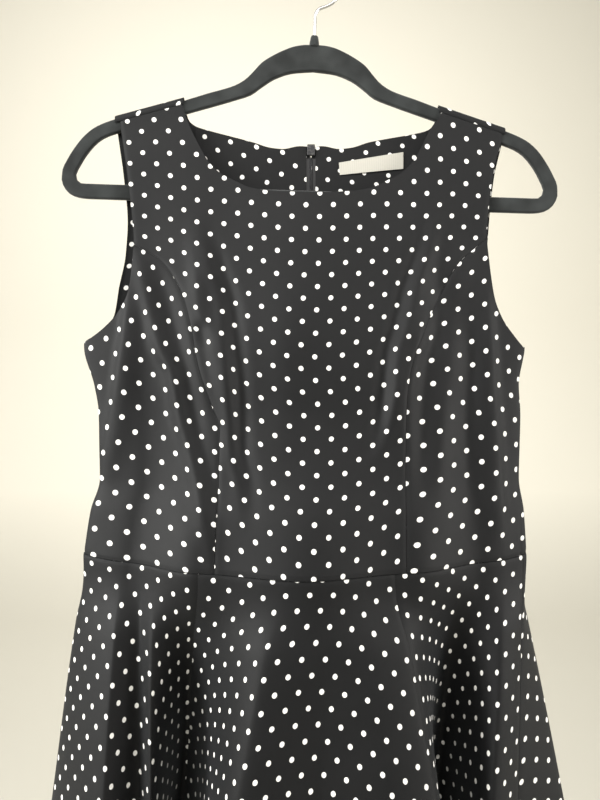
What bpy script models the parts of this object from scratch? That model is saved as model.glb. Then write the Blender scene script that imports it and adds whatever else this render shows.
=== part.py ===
"""Sleeveless a-line dress with a circle-cut skirt, hung on a slim clothes hanger.

The origin is the inside top of the hanger's hook, where a rail carries it. +Z is up, the
front of the dress faces -Y, and left and right are as seen from the front. Tables are in
millimetres and degrees; everything built from them is in metres.
"""

import math

import bmesh
import bpy
import numpy as np

MM = 0.001

# Cloth
WALL = 1.2 * MM
SEAM_TRIM = 0.2 * MM  # what each piece gives up at a seam
ZIP_GAP = 1.0 * MM  # from the centre back line to each back piece
LAYER_GAP = 0.3 * MM
FACING_WALL = 0.9 * MM
FACING_DEPTH = 55 * MM
LABEL_WALL = 0.7 * MM

# Hanger
HANGER_TILT = math.radians(1.9)
HANGER_HALF = 2.7 * MM
HANGER_EDGE = 1.2 * MM
WIRE_R = 1.4 * MM
HOOK_R = 24 * MM
HOOK_TIP_DEG = 190
HOOK_FOOT_DEG = -74
BOSS_TOP = -72 * MM
HANGER_TOP = ((0, -80.5), (8, -80.7), (27, -86), (47, -98), (60, -113), (73, -120.5), (118, -135.5),
              (178, -153.7), (195, -161), (205, -169), (212.5, -178.5), (220, -191), (225, -204),
              (223, -216), (217.5, -222.5), (210, -225.5), (200, -226.4))
HANGER_GAP = ((0, -104.2), (18, -106), (35, -112), (55, -127), (110, -145), (175, -165.5), (191, -172.5),
              (203, -185), (212.5, -203.5), (211.5, -209.5), (206, -213))
BOSS = ((3.2, -72), (4.6, -79))

# Top line of each hanger arm under a shoulder, as height at X = 0 and slope
ARM_LEFT = (-97.1, 0.272)
ARM_RIGHT = (-99.5, -0.342)
WRAP_R = 4.4 * MM  # outside of the cloth as it turns over an arm
WRAP_DROP = 2.2 * MM  # its centre below the arm's top line
SHOULDER_LAP = 3.0 * MM  # straight part in front, down to the shoulder seam
SHOULDER_EASE = 45 * MM  # height over which the panels close in to the arm

# Bodice outline and depth: a row for each height, in front of (+) or behind (-) the hanger
#          height left  right centre princess mid seam  back
BODICE = ((-130, -206, 190, 4.6, 4.6, 4.6, 4.0, 4.4),
          (-175, -207, 189, 8, 7, 6, 4.5, 7.0),
          (-218, -208, 188, 15, 10, 7, 5, 9.0),
          (-260, -209, 187, 22, 15, 9, 6, 10),
          (-300, -209, 186, 28, 21, 13, 8, 11),
          (-354, -209, 185, 36, 31, 20, 11, 12),
          (-390, -199, 179, 40, 36, 24, 13, 12),
          (-413, -195, 180, 43, 38, 26, 14, 12),
          (-444, -194, 179, 51, 43, 29, 15, 13),
          (-472, -193, 178, 61, 49, 32, 16, 14),
          (-500, -201, 182, 74, 57, 35, 17, 14),
          (-543, -207, 184, 87, 66, 40, 19, 15))
ACROSS = (-0.45, 0.0, 0.45, 0.78, 1.0)  # where the centre, princess and mid depths sit
SIDE_ROUND = 6  # power of the rounding at the side folds

# Seams and edges, as X and Z
PRINCESS_LEFT = ((-85, -540), (-84, -465), (-84, -426), (-91, -408), (-103, -375), (-112, -333),
                 (-120, -308), (-139, -279), (-164.5, -263))
PRINCESS_RIGHT = ((71, -540), (73, -471), (74, -445), (76, -400), (80, -375), (92, -344),
                  (106, -315), (123, -284), (152, -257))
ARMHOLE_LEFT = ((-164.5, -263), (-166, -245), (-171, -202), (-178, -155))
ARMHOLE_RIGHT = ((152, -257), (155, -224), (160, -192), (167, -168))
UNDERARM_LEFT = ((-164.5, -263), (-165.2, -280), (-167.5, -305), (-176, -323), (-190, -338.5),
                 (-208.5, -352))
UNDERARM_RIGHT = ((152, -257), (153.5, -275), (157.5, -310), (165, -330), (178, -347))
NECK_FRONT = ((-121, -140), (-114, -158), (-105, -176), (-98, -188), (-87, -199), (-76, -205),
              (-59, -213), (-39, -216.5), (-6, -218), (27, -216.5), (47, -213), (64, -205),
              (75, -199), (86, -188), (93, -176), (102, -158), (112, -145))
NECK_BACK = ((-121, -135), (-117, -147), (-111, -152), (-98, -156), (-78, -161), (-59, -166),
             (-42, -171), (-31, -172), (-16, -169.5), (-6.5, -170))
ARMHOLE_BACK_LEFT = ((-208.5, -352), (-195, -339), (-186, -324), (-182, -300), (-176, -270),
                     (-174, -243), (-177, -200), (-183, -152))
ARMHOLE_BACK_RIGHT = ((178, -355), (166, -332), (158, -305), (156, -273), (158, -240),
                      (162, -200), (170, -163))
FACING_START = 2  # the facing starts at this row of the back neck, below the hanger arm
CENTRE_BACK = -5.5
WAIST_SIDE = -536
WAIST_DIP = 8  # how much lower the waist seam is at centre front and back
SIDE_SEAM_LEFT_DEG = -90
SIDE_SEAM_RIGHT_DEG = 75
TURN_SCALE = 60  # millimetres that a radian of turn counts for along a back's armhole

# Skirt: a row for each fold line, from centre back round the left side and the front.
# X and depth in plan at the knee row and at the hem; the waist row lies on the bodice's.
SKIRT_LENGTH = 590
KNEE = 0.356  # of the length
#        part     knee_x knee_d hem_x hem_d
FOLDS = (("back", -5.5, -14, -6, -18),
         ("back", -24, 36, -36, 52),
         ("back", -42, -18, -60, -20),
         ("back", -64, 62, -84, 130),
         ("back", -106, -26, -145, -30),
         ("back", -152, 20, -206, -6),
         ("back", -176, -14, -234, -22),
         ("back", -210, -4, -266, -6),
         ("left", -231, 28, -283, 40),
         ("front", -172, 86, -236, 158),
         ("front", -148, 46, -207, 26),
         ("front", -133, 82, -182, 172),
         ("front", -119, 7, -160, 2),
         ("front", -71, 120, -96, 204),
         ("front", -2, 106, -4, 98),
         ("front", 55, 121, 70, 207),
         ("front", 95, 107, 128, 190),
         ("front", 106, 7, 143, 2),
         ("front", 134, 86, 178, 184),
         ("right", 163, 62, 222, 66),
         ("back", 214, 24, 284, 34),
         ("back", 203, -2, 264, 0),
         ("back", 178, -16, 238, -20),
         ("back", 144, 22, 198, 36),
         ("back", 106, -26, 137, -32),
         ("back", 70, 62, 92, 132),
         ("back", 46, -18, 56, -20),
         ("back", 16, 48, 24, 54))
HIP = 0.17  # of the length: the row where the folds have part of their depth
HIP_SHARES = {"front": 0.52, "back": 0.2}
QUARTER_SHARES = (0.25, 0.5, 0.25)  # of the cut: back left, front and back right
FULLNESS = 0.6  # how round a fold's crest is, as a share of its flank
FOLD_STEPS = 4
SKIRT_ROWS = (0.0, 0.06, 0.17, 0.356, 0.57, 0.78, 1.0)

# Zip at centre back
ZIP_HALF = 1.8 * MM
ZIP_WALL = 1.2 * MM
ZIP_SLACK = 1.3 * MM  # how far the coil stands off the skirt's rounded fold
ZIP_TOP = -181 * MM
ZIP_END = -690 * MM
SLIDER_Z = (-178.9 * MM, -168.7 * MM)
SLIDER_HALF = 3.5 * MM
SLIDER_WALL = 2.6 * MM
BRIDGE_HALF = 0.6 * MM
BRIDGE_Z = (-176.5 * MM, -171.2 * MM)
BRIDGE_Y = (5.0 * MM, 10.6 * MM)
BRIDGE_EYE_Z = (-175.5 * MM, -172.2 * MM)
BRIDGE_EYE_Y = (8.3 * MM, 9.9 * MM)
PULL_AXIS = (CENTRE_BACK * MM, 9.1 * MM, -174.4 * MM)
PULL_HALF = 0.4 * MM
PULL_OUTLINE = ((2.2, 0.45), (2.2, -5), (2.4, -8), (3.2, -11.5), (3.3, -13.5), (2.6, -15.4), (1.2, -16.3))
PULL_EYE = ((1.1, -0.45), (1.1, -4.4))

# Label, as its corners X and Z from bottom left, sewn inside the right back
LABEL = ((21, -196), (79, -190.5), (79, -175.5), (20, -185))

BLACK_CLOTH = (0.018, 0.018, 0.021, 1)
FLOCKED_BLACK = (0.012, 0.012, 0.013, 1)
STEEL = (0.62, 0.62, 0.63, 1)
ZIP_GREY = (0.05, 0.05, 0.055, 1)
SATIN_WHITE = (0.8, 0.8, 0.78, 1)


def clear_scene():
    for thing in list(bpy.data.objects):
        bpy.data.objects.remove(thing, do_unlink=True)


def new_collection(name):
    made = bpy.data.collections.new(name)
    bpy.context.scene.collection.children.link(made)
    return made


def principled(name, colour, roughness, metallic=0.0):
    made = bpy.data.materials.new(name)
    made.use_nodes = True
    shader = made.node_tree.nodes["Principled BSDF"]
    shader.inputs["Base Color"].default_value = colour
    shader.inputs["Roughness"].default_value = roughness
    shader.inputs["Metallic"].default_value = metallic
    return made


def smooth(at, knots, values):
    """Values at the given places on a curve through the knots that never overshoots them."""
    at = np.asarray(at, dtype=float)
    knots = np.asarray(knots, dtype=float)
    values = np.asarray(values, dtype=float)
    step = np.diff(knots)
    rise = np.diff(values, axis=0)
    if values.ndim > 1:
        step = step[:, None]
    slope = rise / step
    before, after = slope[:-1], slope[1:]
    same = before * after > 0
    total = np.where(same, before + after, 1.0)
    inner = np.where(same, 2 * before * after / total, 0.0)
    tangent = np.concatenate([slope[:1], inner, slope[-1:]])
    place = np.clip(np.searchsorted(knots, at) - 1, 0, len(knots) - 2)
    width = np.diff(knots)[place]
    t = np.clip((at - knots[place]) / width, 0.0, 1.0)
    if values.ndim > 1:
        width = width[..., None]
        t = t[..., None]
    low, high = values[place], values[place + 1]
    start, end = tangent[place] * width, tangent[place + 1] * width
    return (low * (1 + 2 * t) * (1 - t) ** 2 + start * t * (1 - t) ** 2
            + high * t * t * (3 - 2 * t) + end * t * t * (t - 1))


def along(rows, count):
    """Evenly spaced places on a smooth line through a table of rows."""
    rows = np.asarray(rows, dtype=float)
    chord = np.concatenate([[0.0], np.cumsum(np.linalg.norm(np.diff(rows, axis=0), axis=1))])
    return smooth(np.linspace(0, chord[-1], count), chord, rows)


def ease(t):
    t = np.clip(t, 0.0, 1.0)
    return t * t * (3 - 2 * t)


def arm_top(x_mm):
    """Height of the hanger arms' top line, in millimetres."""
    left = ARM_LEFT[0] + ARM_LEFT[1] * x_mm
    right = ARM_RIGHT[0] + ARM_RIGHT[1] * x_mm
    return np.where(x_mm < 0, left, right)


def bodice_row(z_mm):
    table = np.asarray(BODICE, dtype=float)[::-1]
    return smooth(z_mm, table[:, 0], table[:, 1:])


def bodice_at(turn, z_mm):
    """A place on the bodice: turn is 0 at centre front, -90 degrees at the left side."""
    turn = np.asarray(turn, dtype=float)
    z_mm = np.asarray(z_mm, dtype=float)
    left, right, centre, princess, mid, seam, back = np.moveaxis(bodice_row(z_mm), -1, 0)
    u = np.sin(turn)
    x = (left + right) / 2 + (right - left) / 2 * u
    weights = smooth(np.abs(u), ACROSS, np.asarray(
        ((0, 1, 0, 0), (1, 0, 0, 0), (0, 1, 0, 0), (0, 0, 1, 0), (0, 0, 0, 1)), dtype=float))
    edge = 0.6 * mid + 0.4 * seam
    front = (weights * np.stack((centre, princess, mid, edge), axis=-1)).sum(axis=-1)
    nose = np.sqrt(np.clip(1 - np.abs(u) ** SIDE_ROUND, 0, 1))
    is_front = np.cos(turn) >= 0
    y = np.where(is_front, -seam - (front - seam) * nose, -seam + (back + seam) * nose)
    near = ease(1 - (arm_top(x) - WRAP_DROP / MM - z_mm) / (SHOULDER_EASE / MM))
    on_arm = np.where(is_front, -WRAP_R / MM, WRAP_R / MM)
    y = y * (1 - near) + on_arm * near
    return np.stack((x, y, z_mm), axis=-1) * MM


def inward(surface, turn, z_mm):
    """Unit normals of a surface of turn and height, pointing into the garment."""
    small = 0.01
    across = surface(turn + small, z_mm) - surface(turn - small, z_mm)
    up = surface(turn, z_mm + 1) - surface(turn, z_mm - 1)
    normal = np.cross(up, across)
    return normal / np.linalg.norm(normal, axis=-1, keepdims=True)


def front_turn(points):
    """Turns for X and Z places on the front."""
    points = np.asarray(points, dtype=float)
    row = bodice_row(points[:, 1])
    middle, half = (row[:, 0] + row[:, 1]) / 2, (row[:, 1] - row[:, 0]) / 2
    turn = np.arcsin(np.clip((points[:, 0] - middle) / half, -0.9999, 0.9999))
    return np.stack((turn, points[:, 1]), axis=-1)


def back_turn(points, side):
    """Turns for X and Z places on the back; side is -1 left of centre back, 1 right."""
    flat = front_turn(points)
    flat[:, 0] = side * math.pi - flat[:, 0]
    return flat


def waist_z(turn):
    return WAIST_SIDE - WAIST_DIP * np.abs(np.cos(turn))


def coons(bottom, top, left, right):
    """A grid of places inside four edges, rows from bottom to top."""
    u = np.linspace(0, 1, len(bottom))[None, :, None]
    v = np.linspace(0, 1, len(left))[:, None, None]
    ruled = (1 - v) * bottom[None] + v * top[None] + (1 - u) * left[:, None] + u * right[:, None]
    corners = ((1 - u) * (1 - v) * bottom[0] + u * (1 - v) * bottom[-1]
               + (1 - u) * v * top[0] + u * v * top[-1])
    return ruled - corners


def trim(outer, inner, rows=(1, 1), columns=(1, 1), amount=SEAM_TRIM):
    """Pulls the marked edges of a panel back along the cloth."""
    for grid in (outer, inner):
        for first, end, on in ((0, 1, columns[0]), (-1, -2, columns[1])):
            way = grid[:, end] - grid[:, first]
            grid[:, first] += on * amount * way / np.linalg.norm(way, axis=-1, keepdims=True)
        for first, end, on in ((0, 1, rows[0]), (-1, -2, rows[1])):
            way = grid[end] - grid[first]
            grid[first] += on * amount * way / np.linalg.norm(way, axis=-1, keepdims=True)


def grid_faces(rows, columns, index):
    faces = []
    for i in range(rows - 1):
        for j in range(columns - 1):
            faces.append((index(i, j), index(i, j + 1), index(i + 1, j + 1), index(i + 1, j)))
    return faces


def cloth(name, outer, inner, faces, material, collection):
    """One closed wall between two sheets of points that share the same faces."""
    shell = bmesh.new()
    outside = [shell.verts.new(point) for point in outer]
    inside = [shell.verts.new(point) for point in inner]
    for face in faces:
        shell.faces.new([outside[k] for k in face])
        shell.faces.new([inside[k] for k in reversed(face)])
    twins = dict(zip(outside, inside))
    rim = [edge for edge in shell.edges if edge.is_boundary and edge.verts[0] in twins]
    for edge in rim:
        loop = edge.link_loops[0]
        a, b = loop.vert, loop.link_loop_next.vert
        shell.faces.new((b, a, twins[a], twins[b]))
    bmesh.ops.recalc_face_normals(shell, faces=shell.faces)
    bmesh.ops.triangulate(shell, faces=shell.faces)
    mesh = bpy.data.meshes.new(name)
    shell.to_mesh(mesh)
    shell.free()
    mesh.materials.append(material)
    made = bpy.data.objects.new(name, mesh)
    collection.objects.link(made)
    return made


def panel(name, outer, inner, material, collection):
    """Cloth over one plain grid."""
    rows, columns = outer.shape[:2]
    faces = grid_faces(rows, columns, lambda i, j: i * columns + j)
    return cloth(name, outer.reshape(-1, 3), inner.reshape(-1, 3), faces, material, collection)


def both_sides(domain, outside=0.0, wall=WALL):
    """Outer and inner points of a bodice piece over a grid of turns and heights."""
    turn, z_mm = domain[..., 0], domain[..., 1]
    base = bodice_at(turn, z_mm)
    normal = inward(bodice_at, turn, z_mm)
    return base + outside * normal, base + (outside + wall) * normal


SEAM_ROWS = 10
ARM_ROWS = 5
STRAP_COLUMNS = 5


def waist_line(first, last, count):
    turn = np.linspace(first, last, count)
    return np.stack((turn, waist_z(turn)), axis=-1)


def side_seam(turn_deg, underarm_z, count):
    turn = math.radians(turn_deg)
    z = np.linspace(waist_z(turn), underarm_z, count)
    return np.stack((np.full(count, turn), z), axis=-1)


def shoulder_front(x_ends, count):
    """The shoulder seam, just under the front edge of the hanger arm."""
    x = np.linspace(*x_ends, count)
    z = arm_top(x) - (WRAP_DROP + SHOULDER_LAP) / MM
    return front_turn(np.stack((x, z), axis=-1))


def build_front(material, collection):
    left = np.concatenate([front_turn(along(PRINCESS_LEFT, SEAM_ROWS)),
                           front_turn(along(ARMHOLE_LEFT, ARM_ROWS + 1))[1:]])
    right = np.concatenate([front_turn(along(PRINCESS_RIGHT, SEAM_ROWS)),
                            front_turn(along(ARMHOLE_RIGHT, ARM_ROWS + 1))[1:]])
    strap_left = shoulder_front((ARMHOLE_LEFT[-1][0], NECK_FRONT[0][0]), STRAP_COLUMNS)
    strap_right = shoulder_front((NECK_FRONT[-1][0], ARMHOLE_RIGHT[-1][0]), STRAP_COLUMNS)
    neck = front_turn(along(NECK_FRONT, 17))
    left[-1] = strap_left[0]
    right[-1] = strap_right[-1]
    top = np.concatenate([strap_left[:-1], neck, strap_right[1:]])
    top[STRAP_COLUMNS - 1] = strap_left[-1]
    top[-STRAP_COLUMNS] = strap_right[0]
    left[0, 1] = waist_z(left[0, 0])
    right[0, 1] = waist_z(right[0, 0])
    bottom = waist_line(left[0, 0], right[0, 0], len(top))
    outer, inner = both_sides(coons(bottom, top, left, right))
    trim(outer, inner)
    panel("bodice_front_centre", outer, inner, material, collection)

    for name, princess, under, seam_deg, flip in (
            ("left", PRINCESS_LEFT, UNDERARM_LEFT, SIDE_SEAM_LEFT_DEG, True),
            ("right", PRINCESS_RIGHT, UNDERARM_RIGHT, SIDE_SEAM_RIGHT_DEG, False)):
        inner_edge = front_turn(along(princess, SEAM_ROWS))
        inner_edge[0, 1] = waist_z(inner_edge[0, 0])
        outer_edge = side_seam(seam_deg, under[-1][1], SEAM_ROWS)
        top = front_turn(along(under, 8))
        top[-1] = outer_edge[-1]
        bottom = waist_line(inner_edge[0, 0], outer_edge[0, 0], len(top))
        edges = (bottom, top, inner_edge, outer_edge)
        if flip:
            edges = (bottom[::-1], top[::-1], outer_edge, inner_edge)
        outer, inner = both_sides(coons(*edges))
        trim(outer, inner)
        panel(f"bodice_side_front_{name}", outer, inner, material, collection)


def neck_back(side, count, first=0):
    """The back neck edge from the strap, or a later row of its table, to centre back."""
    rows = [(x, z) if side < 0 else (2 * CENTRE_BACK - x, z - 5 * (abs(x) > 60) * (abs(x) - 60) / 60)
            for x, z in NECK_BACK[first:]]
    return along(rows, count)


def wrap_points(x_m, radius):
    """A strap's cloth over the hanger arm: rows from the back, over the top, down the front."""
    centre = arm_top(x_m / MM) * MM - WRAP_DROP
    rows = []
    for degrees in (30, 60, 90, 120, 150, 180):
        angle = math.radians(degrees)
        rows.append(np.stack((x_m, np.full_like(x_m, radius * math.cos(angle)),
                              centre + radius * math.sin(angle)), axis=-1))
    end = rows[-1].copy()
    end[:, 2] -= SHOULDER_LAP - 2 * SEAM_TRIM
    rows.append(end)
    return np.stack(rows)


def armhole_back(arm_edge, side, start, count):
    """Turn and height along a back's armhole, from the side seam round to the shoulder."""
    edge = np.vstack((start, back_turn(arm_edge, side)))
    if side < 0:
        edge = np.delete(edge, 1, axis=0)
    edge[:, 0] *= TURN_SCALE
    line = along(edge, count)
    line[:, 0] /= TURN_SCALE
    return line


def build_back(side, material, facing_material, collection):
    name = "left" if side < 0 else "right"
    arm_edge = ARMHOLE_BACK_LEFT if side < 0 else ARMHOLE_BACK_RIGHT
    seam_deg = SIDE_SEAM_LEFT_DEG if side < 0 else SIDE_SEAM_RIGHT_DEG
    underarm_z = (UNDERARM_LEFT if side < 0 else UNDERARM_RIGHT)[-1][1]
    seam = side_seam(seam_deg, underarm_z, SEAM_ROWS)
    arm = armhole_back(arm_edge, side, seam[-1], ARM_ROWS + 5)[1:]
    outer_edge = np.concatenate([seam, arm])
    neck_xz = neck_back(side, 10)
    strap_x = np.linspace(arm_edge[-1][0], neck_xz[0][0], STRAP_COLUMNS)
    strap_z = arm_top(strap_x) - WRAP_DROP / MM
    strap = back_turn(np.stack((strap_x, strap_z), axis=-1), side)
    neck = back_turn(neck_xz, side)
    outer_edge[-1] = strap[0]
    top = np.concatenate([strap, neck[1:]])
    centre_x = CENTRE_BACK + side * ZIP_GAP / MM
    rows = len(outer_edge)
    centre_z = np.linspace(WAIST_SIDE - WAIST_DIP, neck_xz[-1][1], rows)
    centre = back_turn(np.stack((np.full(rows, centre_x), centre_z), axis=-1), side)
    top[-1] = centre[-1]
    bottom = waist_line(outer_edge[0, 0], centre[0, 0], len(top))
    bottom[-1] = centre[0]
    domain = coons(bottom, top, outer_edge, centre)
    outer, inner = both_sides(domain)
    straight = outer[-1, :STRAP_COLUMNS].copy()
    trim(outer, inner, rows=(1, 0), columns=(1, 0))
    outer[-1, :STRAP_COLUMNS, 0] = straight[:, 0]
    wrapped = (wrap_points(straight[:, 0], WRAP_R), wrap_points(straight[:, 0], WRAP_R - WALL))
    for grid, radius in ((outer, WRAP_R), (inner, WRAP_R - WALL)):
        grid[-1, :STRAP_COLUMNS, 0] = straight[:, 0]
        grid[-1, :STRAP_COLUMNS, 1] = radius
        grid[-1, :STRAP_COLUMNS, 2] = straight[:, 2]
    total = rows * len(top)
    faces = grid_faces(rows, len(top), lambda i, j: i * len(top) + j)
    faces += grid_faces(1 + len(wrapped[0]), STRAP_COLUMNS,
                        lambda i, j: (rows - 1) * len(top) + j if i == 0
                        else total + (i - 1) * STRAP_COLUMNS + j)
    sheets = [np.concatenate([grid.reshape(-1, 3), extra.reshape(-1, 3)])
              for grid, extra in zip((outer, inner), wrapped)]
    cloth(f"bodice_back_{name}", *sheets, faces, material, collection)

    band_xz = neck_back(side, 9, FACING_START)
    band_xz[-1, 0] = CENTRE_BACK + side * (SLIDER_HALF / MM + 0.7)
    upper = back_turn(band_xz - np.array((0, 1.0)), side)
    lower_xz = band_xz.copy()
    lower_xz[:, 1] -= FACING_DEPTH / MM
    lower = back_turn(lower_xz, side)
    mid = back_turn((band_xz + lower_xz) / 2, side)
    outer, inner = both_sides(np.stack((lower, mid, upper)), WALL + LAYER_GAP, FACING_WALL)
    panel(f"back_facing_{name}", outer, inner, facing_material, collection)


def fold_ring(points, steps):
    """A closed soft curve through fold points, the same number of steps in each stretch."""
    points = np.asarray(points, dtype=float)
    ahead = np.roll(points, -1, axis=0)
    behind = np.roll(points, 1, axis=0)
    way = ahead - behind
    way /= np.linalg.norm(way, axis=1, keepdims=True)
    chord = np.linalg.norm(ahead - points, axis=1, keepdims=True)
    start = way * chord * FULLNESS
    end = np.roll(way, -1, axis=0) * chord * FULLNESS
    t = np.linspace(0, 1, steps, endpoint=False)[None, :, None]
    curve = (points[:, None] * (1 + 2 * t) * (1 - t) ** 2 + start[:, None] * t * (1 - t) ** 2
             + ahead[:, None] * t * t * (3 - 2 * t) + end[:, None] * t * t * (t - 1))
    return curve.reshape(-1, points.shape[1])


def ring_length(ring):
    return np.linalg.norm(np.roll(ring, -1, axis=0) - ring, axis=1)


def waist_ring(shares):
    """Places on the waist seam at shares of its length from centre back, going left."""
    turn = -np.pi - np.arcsin((CENTRE_BACK - (-11.5)) / 195.5) + np.linspace(0, 2 * np.pi, 721)
    line = bodice_at(turn, np.full_like(turn, WAIST_SIDE - WAIST_DIP / 2))
    length = np.concatenate([[0], np.cumsum(np.linalg.norm(np.diff(line, axis=0), axis=1))])
    at = np.interp(shares, length / length[-1], turn)
    return bodice_at(at, np.full_like(at, WAIST_SIDE - WAIST_DIP / 2))[:, :2], at


def skirt_shares():
    """Each fold line's share of the way round, as cut, and the fold points at the knee and hem."""
    knee = np.array([(x, -d) for _, x, d, _, _ in FOLDS])
    hem = np.array([(x, -d) for _, _, _, x, d in FOLDS])
    kinds = [row[0] for row in FOLDS]
    ends = (0, kinds.index("left"), kinds.index("right"), len(FOLDS))
    lengths = ring_length(fold_ring(knee, 24)).reshape(len(FOLDS), -1).sum(axis=1)
    for first, last, share in zip(ends[:-1], ends[1:], QUARTER_SHARES):
        lengths[first:last] *= share / lengths[first:last].sum()
    return np.concatenate([[0], np.cumsum(lengths)[:-1]]), knee * MM, hem * MM


def skirt_points(steps, rows):
    """Rings of the skirt from the waist to the hem, with their heights."""
    shares, knee, hem = skirt_shares()
    waist, turn = waist_ring(shares)
    part_share = np.array([HIP_SHARES["back" if row[0] == "back" else "front"] for row in FOLDS])
    hip = waist + (knee - waist) * part_share[:, None]
    knots = np.stack((waist, hip, knee, hem)).reshape(4, -1)
    rings = []
    for part in rows:
        here = smooth(np.array([part]), (0.0, HIP, KNEE, 1.0), knots)[0].reshape(-1, 2)
        rings.append(fold_ring(here, steps))
    fine = np.interp(np.arange(len(FOLDS) * steps) / steps, np.arange(len(FOLDS) + 1),
                     np.append(shares, 1.0))
    snug, turn = waist_ring(fine)
    settle = ease(1 - np.asarray(rows) / 0.1)
    rings = [ring * (1 - s) + snug * s for ring, s in zip(rings, settle)]
    drop = np.abs(np.cos(turn)) * WAIST_DIP
    heights = [(WAIST_SIDE - drop * (1 - part) - SKIRT_LENGTH * part) * MM for part in rows]
    return np.stack([np.concatenate([ring, z[:, None]], axis=1) for ring, z in zip(rings, heights)])


def ring_normals(points):
    """Unit normals into the skirt for closed rings from waist to hem."""
    across = np.roll(points, -1, axis=1) - np.roll(points, 1, axis=1)
    down = np.gradient(points, axis=0)
    normal = np.cross(across, down)
    return normal / np.linalg.norm(normal, axis=-1, keepdims=True)


def build_skirt(material, collection):
    outer = skirt_points(FOLD_STEPS, SKIRT_ROWS)
    inner = outer + WALL * ring_normals(outer)
    count = outer.shape[1]
    kinds = [row[0] for row in FOLDS]
    left_seam = kinds.index("left") * FOLD_STEPS
    right_seam = kinds.index("right") * FOLD_STEPS
    pieces = (("skirt_back_left", 0, left_seam), ("skirt_front", left_seam, right_seam),
              ("skirt_back_right", right_seam, count))
    for name, first, last in pieces:
        pick = [k % count for k in range(first, last + 1)]
        own_outer, own_inner = outer[:, pick].copy(), inner[:, pick].copy()
        trim(own_outer, own_inner, rows=(2.5, 0),
             columns=(4 if first == 0 else 1, 4 if last == count else 1))
        panel(name, own_outer[::-1], own_inner[::-1], material, collection)


def build_zip(materials, collection, cutters):
    # Closed coil: down the inside of the centre back seam, across the waist seam
    upper = np.linspace(ZIP_TOP, (WAIST_SIDE - WAIST_DIP) * MM, 12)
    flat = back_turn(np.stack((np.full(12, CENTRE_BACK), upper / MM), axis=-1), -1)
    line = bodice_at(flat[:, 0], flat[:, 1])
    rows = [part for part in SKIRT_ROWS if 0 < part * SKIRT_LENGTH * MM < 0.2]
    skirt = skirt_points(FOLD_STEPS, rows)[:, 0]
    skirt[:, 1] -= ZIP_SLACK
    line = np.concatenate([line, skirt])
    end = line[-2] + (line[-1] - line[-2]) * (ZIP_END - line[-2][2]) / (line[-1][2] - line[-2][2])
    line[-1] = end
    grids = []
    for depth in (WALL + LAYER_GAP, WALL + LAYER_GAP + ZIP_WALL):
        grids.append(np.stack([line + np.array((side * ZIP_HALF, -depth, 0)) for side in (-1, 1)], axis=1))
    panel("zip_coil", grids[0][::-1], grids[1][::-1], materials["zip"], collection)

    # Slider: a body inside, and a bridge through the seam that holds the pull
    back_y = bodice_at(np.array(math.pi), np.array(-174.0))[1]
    body_y = (back_y - WALL - LAYER_GAP - SLIDER_WALL, back_y - WALL - LAYER_GAP)
    x = CENTRE_BACK * MM
    slider = block("zip_slider", (x - SLIDER_HALF, x + SLIDER_HALF), body_y, SLIDER_Z, collection)
    slider.data.materials.append(materials["zip"])
    bridge = block("bridge_tool", (x - BRIDGE_HALF, x + BRIDGE_HALF), (body_y[1] - 1 * MM, BRIDGE_Y[1]),
                   BRIDGE_Z, cutters)
    eye = block("bridge_eye_tool", (x - 2 * BRIDGE_HALF, x + 2 * BRIDGE_HALF), BRIDGE_EYE_Y, BRIDGE_EYE_Z,
                cutters)
    round_off = slider.modifiers.new("edges", "BEVEL")
    round_off.width = 0.5 * MM
    round_off.segments = 1
    for tool, operation in ((bridge, "UNION"), (eye, "DIFFERENCE")):
        tool.hide_render = True
        tool.display_type = "WIRE"
        step = slider.modifiers.new(tool.name, "BOOLEAN")
        step.operation = operation
        step.solver = "EXACT"
        step.object = tool

    # Pull: a flat teardrop whose top bar lies in the bridge, with its origin on that bar
    pull = flat_outline("zip_pull", (mirrored(PULL_OUTLINE), mirrored(PULL_EYE)), PULL_HALF,
                        materials["zip"], collection)
    pull.location = PULL_AXIS
    pull.rotation_euler = (math.pi / 2, 0, 0)


def block(name, x, y, z, collection):
    mesh = bpy.data.meshes.new(name)
    shape = bmesh.new()
    bmesh.ops.create_cube(shape, size=1.0)
    for vert in shape.verts:
        for axis, span in enumerate((x, y, z)):
            vert.co[axis] = span[0] if vert.co[axis] < 0 else span[1]
    shape.to_mesh(mesh)
    shape.free()
    made = bpy.data.objects.new(name, mesh)
    collection.objects.link(made)
    return made


def mirrored(half):
    """A closed outline from its right half, top to bottom, in millimetres."""
    left = [(-x, z) for x, z in reversed(half) if x != 0]
    return [(x * MM, z * MM) for x, z in list(half) + left]


def flat_outline(name, outlines, half_thickness, material, collection):
    """A flat plate from closed outlines; the second one is a hole."""
    curve = bpy.data.curves.new(name, "CURVE")
    curve.dimensions = "2D"
    curve.fill_mode = "BOTH"
    curve.extrude = half_thickness
    for outline in outlines:
        spline = curve.splines.new("POLY")
        spline.points.add(len(outline) - 1)
        for point, (x, z) in zip(spline.points, outline):
            point.co = (x, z, 0, 1)
        spline.use_cyclic_u = True
    curve.materials.append(material)
    made = bpy.data.objects.new(name, curve)
    collection.objects.link(made)
    return made


def build_label(material, collection):
    bottom = np.linspace(LABEL[0], LABEL[1], 5)
    top = np.linspace(LABEL[3], LABEL[2], 5)
    domain = np.stack((back_turn(bottom, 1), back_turn(top, 1)))
    above = WALL + 2 * LAYER_GAP + FACING_WALL
    outer, inner = both_sides(domain[:, ::-1], above, LABEL_WALL)
    panel("neck_label", outer, inner, material, collection)


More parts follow.
